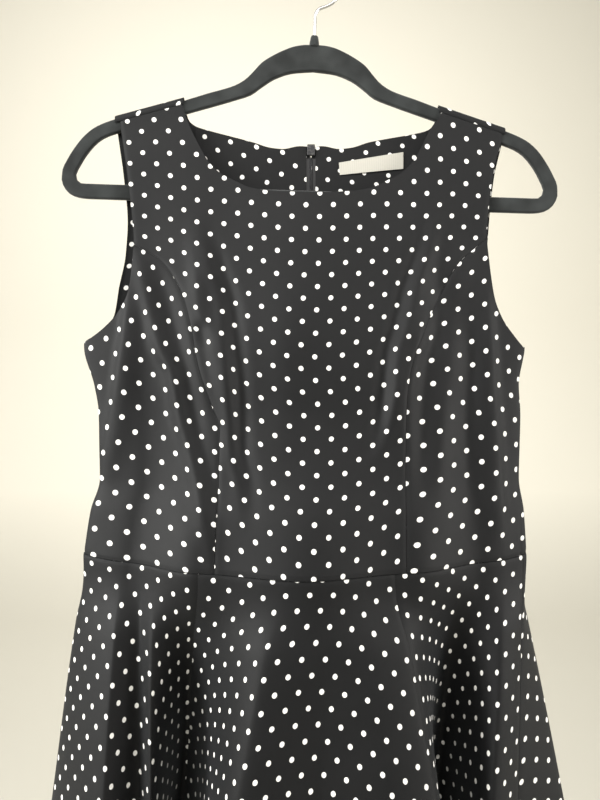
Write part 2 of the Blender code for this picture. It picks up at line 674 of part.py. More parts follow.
def build_hanger(materials, collection):
    tilt = bpy.data.objects.new("hanger_tilt", None)
    tilt.rotation_euler = (0, HANGER_TILT, 0)
    collection.objects.link(tilt)
    outline = mirrored(BOSS + HANGER_TOP[1:])
    body = flat_outline("hanger_body", (outline, mirrored(HANGER_GAP)), HANGER_HALF,
                        materials["hanger"], collection)
    body.rotation_euler = (math.pi / 2, 0, 0)
    body.parent = tilt
    weld = body.modifiers.new("weld", "WELD")
    weld.merge_threshold = 0.00001
    edges = body.modifiers.new("edges", "BEVEL")
    edges.width = HANGER_EDGE
    edges.segments = 2
    edges.limit_method = "ANGLE"
    edges.angle_limit = math.radians(60)

    centre_z = WIRE_R - HOOK_R
    angles = np.radians(np.linspace(HOOK_TIP_DEG, HOOK_FOOT_DEG, 26))
    route = [(HOOK_R * math.cos(a), centre_z + HOOK_R * math.sin(a)) for a in angles]
    foot_x, foot_z = route[-1]
    turn = math.radians(90 - abs(HOOK_FOOT_DEG))
    turn = math.pi / 2 - turn
    bend = foot_x / (1 - math.cos(turn))
    for share in np.linspace(0.2, 1, 5):
        a = turn * (1 - share)
        route.append((bend * (1 - math.cos(a)), foot_z - bend * (math.sin(turn) - math.sin(a))))
    route.append((0.0, BOSS_TOP + LAYER_GAP))
    wire = bpy.data.curves.new("hanger_hook", "CURVE")
    wire.dimensions = "3D"
    wire.bevel_depth = WIRE_R
    wire.bevel_resolution = 2
    wire.use_fill_caps = True
    spline = wire.splines.new("POLY")
    spline.points.add(len(route) - 1)
    for point, (x, z) in zip(spline.points, route):
        point.co = (x, 0, z, 1)
    wire.materials.append(materials["steel"])
    hook = bpy.data.objects.new("hanger_hook", wire)
    collection.objects.link(hook)
    hook.parent = tilt


def build():
    clear_scene()
    dress = new_collection("a_line_dress_on_hanger")
    cutters = new_collection("cutters")
    materials = {"hanger": principled("flocked_black", FLOCKED_BLACK, 0.9),
                 "steel": principled("wire_steel", STEEL, 0.25, 1.0),
                 "zip": principled("zip_grey", ZIP_GREY, 0.35)}
    cloth_material = principled("dotted_cotton", BLACK_CLOTH, 0.7)
    build_hanger(materials, dress)
    build_front(cloth_material, dress)
    for side in (-1, 1):
        build_back(side, cloth_material, cloth_material, dress)
    build_skirt(cloth_material, dress)
    build_zip(materials, dress, cutters)
    build_label(principled("label_satin", SATIN_WHITE, 0.45), dress)


build()
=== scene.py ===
import math

import bmesh
import bpy
import numpy as np
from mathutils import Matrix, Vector


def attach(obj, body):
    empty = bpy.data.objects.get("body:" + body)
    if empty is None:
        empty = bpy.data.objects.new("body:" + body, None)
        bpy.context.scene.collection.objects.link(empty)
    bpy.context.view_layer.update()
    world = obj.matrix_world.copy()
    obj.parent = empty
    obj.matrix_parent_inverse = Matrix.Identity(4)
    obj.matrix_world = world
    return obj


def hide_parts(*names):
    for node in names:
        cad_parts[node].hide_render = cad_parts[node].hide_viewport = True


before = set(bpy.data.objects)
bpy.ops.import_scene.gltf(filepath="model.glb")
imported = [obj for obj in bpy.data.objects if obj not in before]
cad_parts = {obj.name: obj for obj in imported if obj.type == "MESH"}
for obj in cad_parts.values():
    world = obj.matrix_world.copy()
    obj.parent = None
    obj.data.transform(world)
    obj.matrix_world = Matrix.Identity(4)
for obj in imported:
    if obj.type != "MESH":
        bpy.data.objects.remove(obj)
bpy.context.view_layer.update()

# ---------------------------------------------------------------------------
# Hook: one bright steel wire, bent into a round crook that opens to the left
# and run down a short stem into the top of the hanger. The whole hanger, hook
# and all, hangs a little down on its right side.

MM = 0.001
WIRE_R = 1.4 * MM
CROOK_R = 24 * MM
CROOK_TIP_DEG = 190
CROOK_FOOT_DEG = -74
TILT = math.radians(1.9)
STEM_FOOT = -72.2 * MM


def tilted(points):
    """Hanger points (X, Y, Z) turned with the hanger about the place where it hangs."""
    return [(x * math.cos(TILT) + z * math.sin(TILT), y, z * math.cos(TILT) - x * math.sin(TILT))
            for x, y, z in points]


def in_scene(name, data):
    made = bpy.data.objects.new(name, data)
    bpy.context.scene.collection.objects.link(made)
    return made


def new_material(name, colour, roughness, metallic=0.0):
    made = bpy.data.materials.new(name)
    made.use_nodes = True
    shader = made.node_tree.nodes["Principled BSDF"]
    shader.inputs["Base Color"].default_value = (*colour, 1)
    shader.inputs["Roughness"].default_value = roughness
    shader.inputs["Metallic"].default_value = metallic
    return made, made.node_tree, shader


def add_node(tree, kind, **settings):
    """A node with its settings; in_ and an input's name or number sets it, or links a socket to it."""
    made = tree.nodes.new(kind)
    for key, value in settings.items():
        if not key.startswith("in_"):
            setattr(made, key, value)
            continue
        socket = made.inputs[int(key[3:]) if key[3:].isdigit() else key[3:].replace("_", " ")]
        if isinstance(value, bpy.types.NodeSocket):
            tree.links.new(value, socket)
        else:
            socket.default_value = value
    return made


def speckle(tree, scale, place=None):
    """Fine uneven noise over a surface."""
    place = place or add_node(tree, "ShaderNodeTexCoord").outputs["Object"]
    return add_node(tree, "ShaderNodeTexNoise", in_Scale=scale, in_Vector=place).outputs["Fac"]


def uneven_gloss(tree, shader, amount, low, high):
    worn = add_node(tree, "ShaderNodeMapRange", in_0=amount, in_3=low, in_4=high)
    tree.links.new(worn.outputs[0], shader.inputs["Roughness"])


def add_bump(tree, shader, height, strength, distance):
    bump = add_node(tree, "ShaderNodeBump", in_Strength=strength, in_Distance=distance, in_Height=height)
    tree.links.new(bump.outputs["Normal"], shader.inputs["Normal"])


def hook_steel():
    made, tree, shader = new_material("hook_steel", (0.62, 0.61, 0.6), 0.22, 1.0)
    draw = speckle(tree, 900)
    uneven_gloss(tree, shader, draw, 0.16, 0.34)
    add_bump(tree, shader, draw, 0.1, 0.0001)
    return made


def crook_route():
    centre = WIRE_R - CROOK_R
    route = []
    for angle in np.radians(np.linspace(CROOK_TIP_DEG, CROOK_FOOT_DEG, 90)):
        route.append((CROOK_R * math.cos(angle), 0, centre + CROOK_R * math.sin(angle)))
    foot_x, _, foot_z = route[-1]
    turn = math.radians(abs(CROOK_FOOT_DEG))
    bend = foot_x / (1 - math.cos(turn))
    for share in np.linspace(0.05, 1, 20):
        a = turn * (1 - share)
        route.append((bend * (1 - math.cos(a)), 0, foot_z - bend * (math.sin(turn) - math.sin(a))))
    route.append((0, 0, STEM_FOOT))
    return tilted(route)


def tube(name, route, radius, material, sides=3):
    curve = bpy.data.curves.new(name, "CURVE")
    curve.dimensions = "3D"
    curve.bevel_depth = radius
    curve.bevel_resolution = sides
    curve.use_fill_caps = True
    spline = curve.splines.new("POLY")
    spline.points.add(len(route) - 1)
    for point, place in zip(spline.points, route):
        point.co = (*place, 1)
    curve.materials.append(material)
    return in_scene(name, curve)


hook = tube("hook_wire", crook_route(), WIRE_R, hook_steel(), 5)
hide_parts("hanger_hook")
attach(hook, "garment")

# ---------------------------------------------------------------------------
# Hanger: a slim moulded plastic frame with an arched neck, sloping arms, round
# ends and a trouser bar, covered all over in short black velvet flock. A small
# collar at the top holds the hook's stem.

HANGER_HALF = 2.7 * MM
HANGER_ROUND = 1.6 * MM
HANGER_TOP = (
    (0, -80.5), (8, -80.7), (17, -82.2), (27, -86), (38, -91.8), (47, -98), (54, -106),
    (60, -112.5), (66, -117), (73, -120.5), (95, -127.6), (118, -135.5), (148, -145), (178, -153.7),
    (195, -161), (205, -169), (212.5, -178.5), (220, -191), (224.6, -202), (225, -210),
    (222.5, -217), (217.5, -222.5), (210, -225.5), (200, -226.4), (100, -226.4), (0, -226.4))
HANGER_GAP = (
    (0, -104.2), (18, -106), (35, -112), (46, -119.5), (56, -127), (70, -132.2), (110, -145),
    (150, -157.6), (175, -165.5), (184, -168.8), (192, -173.5), (203, -186), (209, -196.5),
    (212.6, -205), (211.2, -210), (206, -213), (100, -213), (0, -213))


def smooth(at, knots, values):
    """Values at the given places on a curve through the knots that never overshoots them."""
    at = np.asarray(at, dtype=float)
    knots = np.asarray(knots, dtype=float)
    values = np.asarray(values, dtype=float)
    step = np.diff(knots)
    rise = np.diff(values, axis=0)
    if values.ndim > 1:
        step = step[:, None]
    slope = rise / step
    before, after = slope[:-1], slope[1:]
    same = before * after > 0
    inner = np.where(same, 2 * before * after / np.where(same, before + after, 1.0), 0.0)
    tangent = np.concatenate([slope[:1], inner, slope[-1:]])
    place = np.clip(np.searchsorted(knots, at) - 1, 0, len(knots) - 2)
    width = np.diff(knots)[place]
    t = np.clip((at - knots[place]) / width, 0.0, 1.0)
    if values.ndim > 1:
        width = width[..., None]
        t = t[..., None]
    low, high = values[place], values[place + 1]
    start, end = tangent[place] * width, tangent[place + 1] * width
    return (low * (1 + 2 * t) * (1 - t) ** 2 + start * t * (1 - t) ** 2
            + high * t * t * (3 - 2 * t) + end * t * t * (t - 1))


def along(rows, shares):
    """Places on a smooth line through a table, at shares of its length."""
    rows = np.asarray(rows, dtype=float)
    chord = np.concatenate([[0.0], np.cumsum(np.linalg.norm(np.diff(rows, axis=0), axis=1))])
    if np.ndim(shares) == 0:
        shares = np.linspace(0, 1, shares)
    return smooth(np.asarray(shares) * chord[-1], chord, rows)


def two_tones(tree, shader, amount, dark_at, dark, light_at, light):
    tint = add_node(tree, "ShaderNodeValToRGB", in_0=amount)
    for stop, at, colour in zip(tint.color_ramp.elements, (dark_at, light_at), (dark, light)):
        stop.position = at
        stop.color = (*colour, 1)
    tree.links.new(tint.outputs[0], shader.inputs["Base Color"])


def flock():
    made, tree, shader = new_material("black_flock", (0.024, 0.026, 0.026), 0.95)
    shader.inputs["Sheen Weight"].default_value = 0.35
    shader.inputs["Sheen Roughness"].default_value = 0.4
    shader.inputs["Specular IOR Level"].default_value = 0.15
    two_tones(tree, shader, speckle(tree, 45), 0.35, (0.016, 0.0175, 0.0175), 0.7, (0.032, 0.035, 0.035))
    add_bump(tree, shader, speckle(tree, 1500), 0.5, 0.0004)
    return made


def hanger_outline(half, count):
    right = along(half, count)
    left = right[-2:0:-1] * np.array((-1, 1))
    return [(x * MM, z * MM) for x, z in np.concatenate([right, left])]


def hanger_frame(material):
    curve = bpy.data.curves.new("hanger_frame", "CURVE")
    curve.dimensions = "2D"
    curve.fill_mode = "BOTH"
    curve.extrude = HANGER_HALF - HANGER_ROUND
    curve.bevel_depth = HANGER_ROUND
    curve.bevel_resolution = 3
    curve.offset = -HANGER_ROUND
    for half, count in ((HANGER_TOP, 110), (HANGER_GAP, 90)):
        outline = hanger_outline(half, count)
        spline = curve.splines.new("POLY")
        spline.points.add(len(outline) - 1)
        for point, (x, z) in zip(spline.points, outline):
            point.co = (x, z, 0, 1)
        spline.use_cyclic_u = True
    curve.materials.append(material)
    made = in_scene("hanger_frame", curve)
    made.rotation_euler = (math.pi / 2, TILT, 0)
    return made


def turned(name, profile, material, sides=24):
    """A turned piece about Z from rows of radius and height, tilted with the hanger."""
    shape = bmesh.new()
    rings = []
    for radius, z in profile:
        ring = []
        for k in range(sides):
            angle = 2 * math.pi * k / sides
            place = tilted([(radius * math.cos(angle), radius * math.sin(angle), z)])[0]
            ring.append(shape.verts.new(place))
        rings.append(ring)
    for low, high in zip(rings[:-1], rings[1:]):
        for k in range(sides):
            shape.faces.new((low[k], low[(k + 1) % sides], high[(k + 1) % sides], high[k]))
    shape.faces.new(rings[-1])
    shape.faces.new(list(reversed(rings[0])))
    bmesh.ops.recalc_face_normals(shape, faces=shape.faces)
    mesh = bpy.data.meshes.new(name)
    shape.to_mesh(mesh)
    shape.free()
    mesh.shade_smooth()
    mesh.set_sharp_from_angle(angle=math.radians(50))
    mesh.materials.append(material)
    return in_scene(name, mesh)


flock_black = flock()
hanger = hanger_frame(flock_black)
collar = turned("hook_collar", ((4.7 * MM, -82 * MM), (4.3 * MM, -78 * MM), (3.5 * MM, -73.2 * MM),
                                (3.1 * MM, -72.4 * MM), (2.0 * MM, -72.1 * MM)), flock_black)
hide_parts("hanger_body")
for piece in (hanger, collar):
    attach(piece, "garment")

# ---------------------------------------------------------------------------
# Dotted cloth: a firm black cotton blend with a smooth satin-like face and a
# printed repeat of small white dots, 24 by 20 mm with one dot in the middle of
# each repeat. Every piece is cut from it flat, so the dots follow the cut.

DOT_R = 2.12 * MM
REPEAT_LONG = 24 * MM
REPEAT_SHORT = 20 * MM
INK_EDGE = 0.16 * MM
INK_WOBBLE = 0.2 * MM
STITCH_R = 0.6 * MM
CLOTH_BLACK = (0.0026, 0.0027, 0.0030)
# The lighter tone of the weave's threads, and of the patches of painted sheen
CLOTH_WEAVE_AND_SHEEN = (0.0062, 0.0064, 0.0070)
DOT_WHITE = (0.80, 0.79, 0.76)
CUT_MAP = "cut"
DOWN_MAP = "down"


def worked(tree, operation, *values):
    """One step of arithmetic in a material."""
    inputs = {f"in_{k}": value for k, value in enumerate(values)}
    return add_node(tree, "ShaderNodeMath", operation=operation, **inputs).outputs[0]


def dotted_cloth(name, long_across, hem_at=None):
    """The cloth's material; long_across turns the repeat's long side across the piece."""
    made, tree, shader = new_material(name, CLOTH_BLACK, 0.58)
    shader.inputs["Sheen Weight"].default_value = 0.07
    shader.inputs["Sheen Roughness"].default_value = 0.45
    shader.inputs["Sheen Tint"].default_value = (0.75, 0.8, 0.85, 1)
    shader.inputs["Specular IOR Level"].default_value = 0.2
    cut = add_node(tree, "ShaderNodeUVMap", uv_map=CUT_MAP).outputs["UV"]
    across, up = (REPEAT_LONG, REPEAT_SHORT) if long_across else (REPEAT_SHORT, REPEAT_LONG)
    reaches = []
    for shift in (0.0, 0.5):
        moved = add_node(tree, "ShaderNodeVectorMath", operation="ADD", in_0=cut,
                         in_1=(across * shift, up * shift, 0))
        cell = add_node(tree, "ShaderNodeVectorMath", operation="WRAP", in_0=moved.outputs[0],
                        in_1=(across / 2, up / 2, 1), in_2=(-across / 2, -up / 2, -1))
        reach = add_node(tree, "ShaderNodeVectorMath", operation="LENGTH", in_0=cell.outputs[0])
        reaches.append(reach.outputs["Value"])
    wobble = worked(tree, "MULTIPLY_ADD", speckle(tree, 900, cut), 2 * INK_WOBBLE, -INK_WOBBLE)
    edge = worked(tree, "ADD", worked(tree, "MINIMUM", *reaches), wobble)
    dot = add_node(tree, "ShaderNodeMapRange", in_0=edge, in_1=DOT_R + INK_EDGE, in_2=DOT_R - INK_EDGE)

    # Fine weave: warp and weft ribs in the cloth's tone, with slow uneven patches of painted sheen,
    # lighter where the face would catch light
    ribs = [add_node(tree, "ShaderNodeTexWave", bands_direction=direction, in_Vector=cut, in_Scale=420,
                     in_Distortion=1.5, in_Detail_Scale=2).outputs["Fac"] for direction in ("X", "Y")]
    weave = worked(tree, "MULTIPLY", *ribs)
    patches = speckle(tree, 28, cut)
    lit = worked(tree, "MULTIPLY_ADD", patches, 0.5, worked(tree, "MULTIPLY_ADD", weave, 0.35, 0.25))
    face = add_node(tree, "ShaderNodeMix", data_type="RGBA", in_0=lit, in_6=(*CLOTH_BLACK, 1),
                    in_7=(*CLOTH_WEAVE_AND_SHEEN, 1))
    printed = add_node(tree, "ShaderNodeMix", data_type="RGBA", in_0=dot.outputs[0],
                       in_6=face.outputs[2], in_7=(*DOT_WHITE, 1))
    tree.links.new(printed.outputs[2], shader.inputs["Base Color"])
    uneven_gloss(tree, shader, patches, 0.53, 0.65)
    height = weave
    if hem_at is not None:
        # Hem: a narrow fold held by a line of stitches all round
        down = add_node(tree, "ShaderNodeUVMap", uv_map=DOWN_MAP)
        length = add_node(tree, "ShaderNodeSeparateXYZ", in_0=down.outputs["UV"])
        on_line = worked(tree, "COMPARE", length.outputs["Y"], hem_at, STITCH_R)
        height = worked(tree, "MULTIPLY_ADD", on_line, -2.0, weave)
    add_bump(tree, shader, height, 0.35, 0.00012)
    return made


# ---------------------------------------------------------------------------
# Centre front: one panel from the waist to both shoulders, with a wide scooped
# neck. It lies flat on the hanger above and stands out over the bust below,
# with soft creases running down from the armholes where it hangs loose.

WALL = 1.1 * MM
SEAM_TRIM = 0.16 * MM
SEAM_ROLL = 0.55 * MM  # how far a seamed edge rolls in
SEAM_ROLL_WIDTH = 2.2 * MM
CLOTH_STEP = 2.9 * MM
FINE_STEP = 1.9 * MM  # across, where the creases are sharp
ARM_LEFT = (-97.1, 0.272)  # an arm's top line: its height at X = 0, and its slope
ARM_RIGHT = (-99.5, -0.342)
WRAP_R = 4.4 * MM
WRAP_DROP = 2.2 * MM
SHOULDER_LAP = 3.0 * MM
SHOULDER_EASE = 45 * MM
SIDE_ROUND = 6

# Outline and depth of the bodice in millimetres: in front of (+) or behind (-) the hanger
# height, left, right, centre, princess, mid, seam, back
BODICE = (
    (-130, -206, 190, 4.6, 4.6, 4.6, 4.0, 4.4),
    (-175, -207, 189, 8, 7, 6, 4.5, 7.0),
    (-218, -208, 188, 15, 10, 7, 5, 9.0),
    (-260, -209, 187, 22, 15, 9, 6, 10),
    (-300, -209, 186, 28, 21, 13, 8, 11),
    (-354, -209, 185, 36, 31, 20, 11, 12),
    (-390, -199, 179, 40, 36, 24, 13, 12),
    (-413, -195, 180, 43, 38, 26, 14, 12),
    (-444, -194, 179, 51, 43, 29, 15, 13),
    (-472, -193, 178, 61, 49, 32, 16, 14),
    (-500, -201, 182, 74, 57, 35, 17, 14),
    (-543, -207, 184, 87, 66, 40, 19, 15))
ACROSS = (-0.45, 0.0, 0.45, 0.78, 1.0)

# Creases, each down a line of X and Z: its height (or, for a roll, its half step), its
# width to the left and right, and whether it is a ridge or a roll of one side over the other
# kind, height, left, right, line
CREASES = (
    ("ridge", 5.5, 6, 15, (
        (-163, -272), (-167, -315), (-170, -350), (-175, -388), (-181, -425), (-190, -463),
        (-196, -500))),
    ("ridge", 5.0, 8, 8, (
        (-163, -262), (-152, -303), (-145, -331), (-137, -358), (-126, -378), (-118, -415),
        (-106, -450), (-94, -500), (-88, -535))),
    ("ridge", -4.0, 9, 9, (
        (-140, -290), (-128, -330), (-117, -370), (-108, -410), (-98, -454), (-84, -500))),
    ("ridge", 4.0, 8, 12, (
        (-112, -252), (-106, -290), (-103, -320), (-93, -345), (-86, -372), (-81, -400),
        (-75, -430))),
    ("roll", -2.9, 6, 6, (
        (-102, -250), (-93, -274), (-89, -291), (-83, -307), (-79, -323), (-77, -341),
        (-75, -360), (-72, -385), (-70, -420), (-68, -448), (-62, -470), (-60, -495))),
    ("ridge", -2.4, 6, 6, ((-101, -333), (-99, -346), (-96, -358))),
    ("roll", 2.9, 6, 6, (
        (100, -240), (96, -258), (91, -276), (80, -307), (76, -322), (70, -343), (65, -358),
        (62, -378), (60, -398), (54, -432), (44, -452))),
    ("ridge", -3.6, 9, 9, (
        (112, -260), (108, -305), (103, -345), (93, -372), (90, -400), (88, -440), (84, -490))),
    ("ridge", 3.0, 10, 10, ((94, -300), (90, -330), (82, -370), (74, -400), (70, -440))),
    ("ridge", 5.0, 14, 6, (
        (150, -300), (152, -345), (153, -390), (156, -440), (158, -490), (159, -540))),
    ("ridge", 2.0, 18, 18, ((-30, -300), (-26, -380), (-34, -470))),
    ("ridge", -1.6, 16, 14, ((20, -400), (22, -450), (16, -520))),
    ("ridge", 2.4, 10, 10, ((118, -330), (117, -370), (110, -410), (106, -450), (104, -500))),
    ("ridge", -2.0, 8, 8, ((136, -330), (134, -380), (130, -430), (131, -500))),
    ("ridge", 1.6, 12, 16, ((128, -262), (126, -290), (124, -320))))
BACK_CREASES = (
    ("ridge", 3.5, 12, 10, ((-150, -280), (-138, -350), (-120, -430), (-112, -520))),
    ("ridge", -2.6, 12, 12, ((-112, -300), (-98, -380), (-92, -470), (-90, -535))),
    ("ridge", 2.4, 16, 14, ((-62, -240), (-60, -330), (-66, -430), (-58, -535))),
    ("ridge", 2.2, 14, 16, ((54, -250), (50, -350), (58, -440), (50, -535))),
    ("ridge", -2.8, 12, 12, ((92, -300), (84, -390), (80, -470), (84, -535))),
    ("ridge", 3.8, 10, 13, ((138, -285), (126, -360), (112, -440), (106, -525))))

PRINCESS_LEFT = (
    (-85, -540), (-84, -465), (-84, -426), (-91, -408), (-103, -375), (-112, -333), (-120, -308),
    (-139, -279), (-164.5, -263))
PRINCESS_RIGHT = (
    (71, -540), (73, -471), (74, -445), (76, -400), (80, -375), (92, -344), (106, -315),
    (123, -284), (152, -257))
ARMHOLE_LEFT = ((-164.5, -263), (-166, -245), (-171, -202), (-178, -155))
ARMHOLE_RIGHT = ((152, -257), (155, -224), (160, -192), (167, -168))
NECK_FRONT = (
    (-121, -140), (-114, -158), (-105, -176), (-98, -188), (-87, -199), (-76, -205), (-59, -213),
    (-39, -216.5), (-6, -218), (27, -216.5), (47, -213), (64, -205), (75, -199), (86, -188),
    (93, -176), (102, -158), (112, -145))
WAIST_SIDE = -536
WAIST_DIP = 8


def ease(t):
    t = np.clip(t, 0.0, 1.0)
    return t * t * (3 - 2 * t)


def arm_top(x_mm):
    left = ARM_LEFT[0] + ARM_LEFT[1] * x_mm
    right = ARM_RIGHT[0] + ARM_RIGHT[1] * x_mm
    return np.where(x_mm < 0, left, right)


def bodice_row(z_mm):
    table = np.asarray(BODICE, dtype=float)[::-1]
    return smooth(z_mm, table[:, 0], table[:, 1:])


def crease_height(table, x_mm, z_mm):
    """How far the creases of a table lift the cloth off its smooth form."""
    total = np.zeros_like(x_mm)
    for kind, height, left, right, line in table:
        line = np.asarray(line, dtype=float)[::-1]
        middle = smooth(z_mm, line[:, 1], line[:, 0])
        low, high = line[0, 1], line[-1, 1]
        reach = min(75.0, (high - low) / 2)
        fade = ease((z_mm - low + reach * 0.25) / reach) * ease((high + reach * 0.25 - z_mm) / reach)
        off = x_mm - middle
        s = off / np.where(off < 0, left, right)
        if kind == "ridge":
            total += height * fade * np.exp(-s * s)
        else:
            total += height * fade * 1.65 * s * np.exp(-s * s / 2)
    return total


def bodice_at(turn, z_mm, creased=True):
    """A place on the bodice: turn is 0 at centre front, -90 degrees at the left side."""
    turn = np.asarray(turn, dtype=float)
    z_mm = np.asarray(z_mm, dtype=float)
    left, right, centre, princess, mid, seam, back = np.moveaxis(bodice_row(z_mm), -1, 0)
    u = np.sin(turn)
    x = (left + right) / 2 + (right - left) / 2 * u
    weights = smooth(np.abs(u), ACROSS, np.asarray(
        ((0, 1, 0, 0), (1, 0, 0, 0), (0, 1, 0, 0), (0, 0, 1, 0), (0, 0, 0, 1)), dtype=float))
    edge = 0.6 * mid + 0.4 * seam
    front = (weights * np.stack((centre, princess, mid, edge), axis=-1)).sum(axis=-1)
    nose = np.sqrt(np.clip(1 - np.abs(u) ** SIDE_ROUND, 0, 1))
    is_front = np.cos(turn) >= 0
    if creased:
        front = front + crease_height(CREASES, x, z_mm)
        back = back + crease_height(BACK_CREASES, x, z_mm)
        slack = np.sin(x / 37 + z_mm / 61) + 0.6 * np.sin(x / 19 - z_mm / 43 + 1.3)
        below = ease((-250 - z_mm) / 80)
        front = front + 0.5 * slack * below
        back = back + 0.5 * slack * below
    y = np.where(is_front, -seam - (front - seam) * nose, -seam + (back + seam) * nose)
    near = ease(1 - (arm_top(x) - WRAP_DROP / MM - z_mm) / (SHOULDER_EASE / MM))
    on_arm = np.where(is_front, -WRAP_R / MM, WRAP_R / MM)
    y = y * (1 - near) + on_arm * near
    return np.stack((x, y, z_mm), axis=-1) * MM


def inward(surface, turn, z_mm):
    """Unit normals of a surface of turn and height, pointing into the garment."""
    across = surface(turn + 0.01, z_mm) - surface(turn - 0.01, z_mm)
    up = surface(turn, z_mm + 1) - surface(turn, z_mm - 1)
    normal = np.cross(up, across)
    return normal / np.linalg.norm(normal, axis=-1, keepdims=True)


def front_turn(points):
    points = np.asarray(points, dtype=float)
    row = bodice_row(points[:, 1])
    middle, half = (row[:, 0] + row[:, 1]) / 2, (row[:, 1] - row[:, 0]) / 2
    turn = np.arcsin(np.clip((points[:, 0] - middle) / half, -0.9999, 0.9999))
    return np.stack((turn, points[:, 1]), axis=-1)


def back_turn(points, side):
    flat = front_turn(points)
    flat[:, 0] = side * math.pi - flat[:, 0]
    return flat


def waist_z(turn):
    return WAIST_SIDE - WAIST_DIP * np.abs(np.cos(turn))


def coons(bottom, top, left, right, us, vs):
    """A grid of places inside four edges, rows from bottom to top."""
    u = np.asarray(us)[None, :, None]
    v = np.asarray(vs)[:, None, None]
    ruled = (1 - v) * bottom[None] + v * top[None] + (1 - u) * left[:, None] + u * right[:, None]
    corners = ((1 - u) * (1 - v) * bottom[0] + u * (1 - v) * bottom[-1]
               + (1 - u) * v * top[0] + u * v * top[-1])
    return ruled - corners


def spread(width_m, keep=(), step=CLOTH_STEP):
    """Shares across a piece of this width, close together at both edges, with some kept."""
    near = np.array((0, 0.5, 1.1, 1.9, 3.0, 4.6)) * MM / width_m
    even = np.linspace(near[-1], 1 - near[-1], max(3, round(width_m / step)))
    shares = list(near[:-1]) + list(even) + list(1 - near[:-1][::-1])
    for share in keep:
        k = int(np.argmin(np.abs(np.array(shares) - share)))
        shares[k] = share
    return np.array(sorted(shares))


# The flat pattern: distance across from centre front and up from the waist, in metres
PATTERN_TURNS = np.linspace(-math.pi - 0.1, math.pi + 0.1, 1441)
PATTERN_HEIGHTS = np.linspace(-546, -128, 140)


def pattern_tables():
    turns, heights = np.meshgrid(PATTERN_TURNS, PATTERN_HEIGHTS)
    points = bodice_at(turns, heights)
    across = np.linalg.norm(np.diff(points, axis=1), axis=-1)
    across = np.concatenate([np.zeros((len(heights), 1)), np.cumsum(across, axis=1)], axis=1)
    across -= across[:, [720]]
    points = bodice_at(turns, heights, creased=False)
    up = np.linalg.norm(np.diff(points, axis=0), axis=-1)
    up = np.concatenate([np.zeros((1, turns.shape[1])), np.cumsum(up, axis=0)], axis=0)
    return across, up


PATTERN_ACROSS, PATTERN_UP = pattern_tables()


def table_at(table, turn, z_mm):
    j = np.clip((turn - PATTERN_TURNS[0]) / (PATTERN_TURNS[1] - PATTERN_TURNS[0]), 0, 1439.999)
    i = np.clip((z_mm - PATTERN_HEIGHTS[0]) / (PATTERN_HEIGHTS[1] - PATTERN_HEIGHTS[0]), 0, 138.999)
    j0, i0 = j.astype(int), i.astype(int)
    fj, fi = j - j0, i - i0
    return ((1 - fi) * (1 - fj) * table[i0, j0] + (1 - fi) * fj * table[i0, j0 + 1]
            + fi * (1 - fj) * table[i0 + 1, j0] + fi * fj * table[i0 + 1, j0 + 1])


def eased(places, grain):
    """Places on the repeat of the cloth for flat places in metres, by the piece's grain table."""
    u, v = places[..., 0] * 10, places[..., 1] * 10
    terms = (np.ones_like(u), u, v, u * u, u * v, v * v, u ** 3, u * u * v, u * v * v, v ** 3)
    return sum(term[..., None] * np.asarray(row) * MM for term, row in zip(terms, grain))


def cut_places(domain, grain):
    """Where each place of a bodice piece lies on the cloth's repeat."""
    turn, z_mm = domain[..., 0], domain[..., 1]
    flat = np.stack((table_at(PATTERN_ACROSS, turn, z_mm), table_at(PATTERN_UP, turn, z_mm)), axis=-1)
    return eased(flat, grain)


def roll_edges(outer, normal, sides, amount=SEAM_ROLL):
    """Rolls the named edges of a grid inwards, as a pressed seam does."""
    moved = outer.copy()
    for side in sides:
        grid, push, way = (outer, moved, normal)
        if side in ("left", "right"):
            grid, push, way = grid.transpose(1, 0, 2), push.transpose(1, 0, 2), way.transpose(1, 0, 2)
        if side in ("right", "top"):
            grid, push, way = grid[::-1], push[::-1], way[::-1]
        run = np.linalg.norm(np.diff(grid[:12], axis=0), axis=-1)
        far = np.concatenate([np.zeros((1, run.shape[1])), np.cumsum(run, axis=0)])
        push[:12] += way[:12] * (amount * np.exp(-(far / SEAM_ROLL_WIDTH) ** 2))[..., None]
    return moved


def trim(grid, sides, amount=SEAM_TRIM):
    for side in sides:
        view = grid.transpose(1, 0, 2) if side in ("left", "right") else grid
        first, then = (0, 1) if side in ("left", "bottom") else (-1, -2)
        way = view[then] - view[first]
        view[first] += amount * way / np.linalg.norm(way, axis=-1, keepdims=True)


def grid_faces(rows, columns, index):
    return [(index(i, j), index(i, j + 1), index(i + 1, j + 1), index(i + 1, j))
            for i in range(rows - 1) for j in range(columns - 1)]


def cloth_piece(name, points, normals, cut, faces, material, wall=WALL, down=None):
    """A thin closed wall on a sheet of points, with its place on the cut cloth as a map."""
    count = len(points)
    shape = bmesh.new()
    verts = [shape.verts.new(p) for p in np.concatenate([points, points + normals * wall])]
    cut_layer = shape.loops.layers.uv.new(CUT_MAP)
    down_layer = shape.loops.layers.uv.new(DOWN_MAP) if down is not None else None
    for face in faces:
        near = [verts[k] for k in face]
        far = [verts[k + count] for k in face]
        shape.faces.new(near)
        shape.faces.new(far[::-1])
    shape.verts.index_update()
    edges = [e for e in shape.edges if e.is_boundary and e.verts[0].index < count]
    for edge in edges:
        loop = edge.link_loops[0]
        a, b = loop.vert, loop.link_loop_next.vert
        shape.faces.new((b, a, verts[a.index + count], verts[b.index + count])).smooth = True
    shape.faces.ensure_lookup_table()
    for face in shape.faces:
        face.smooth = True
        for loop in face.loops:
            loop[cut_layer].uv = cut[loop.vert.index % count]
            if down is not None:
                loop[down_layer].uv = (0, down[loop.vert.index % count])
    mesh = bpy.data.meshes.new(name)
    shape.to_mesh(mesh)
    shape.free()
    mesh.set_sharp_from_angle(angle=math.radians(60))
    mesh.materials.append(material)
    return in_scene(name, mesh)


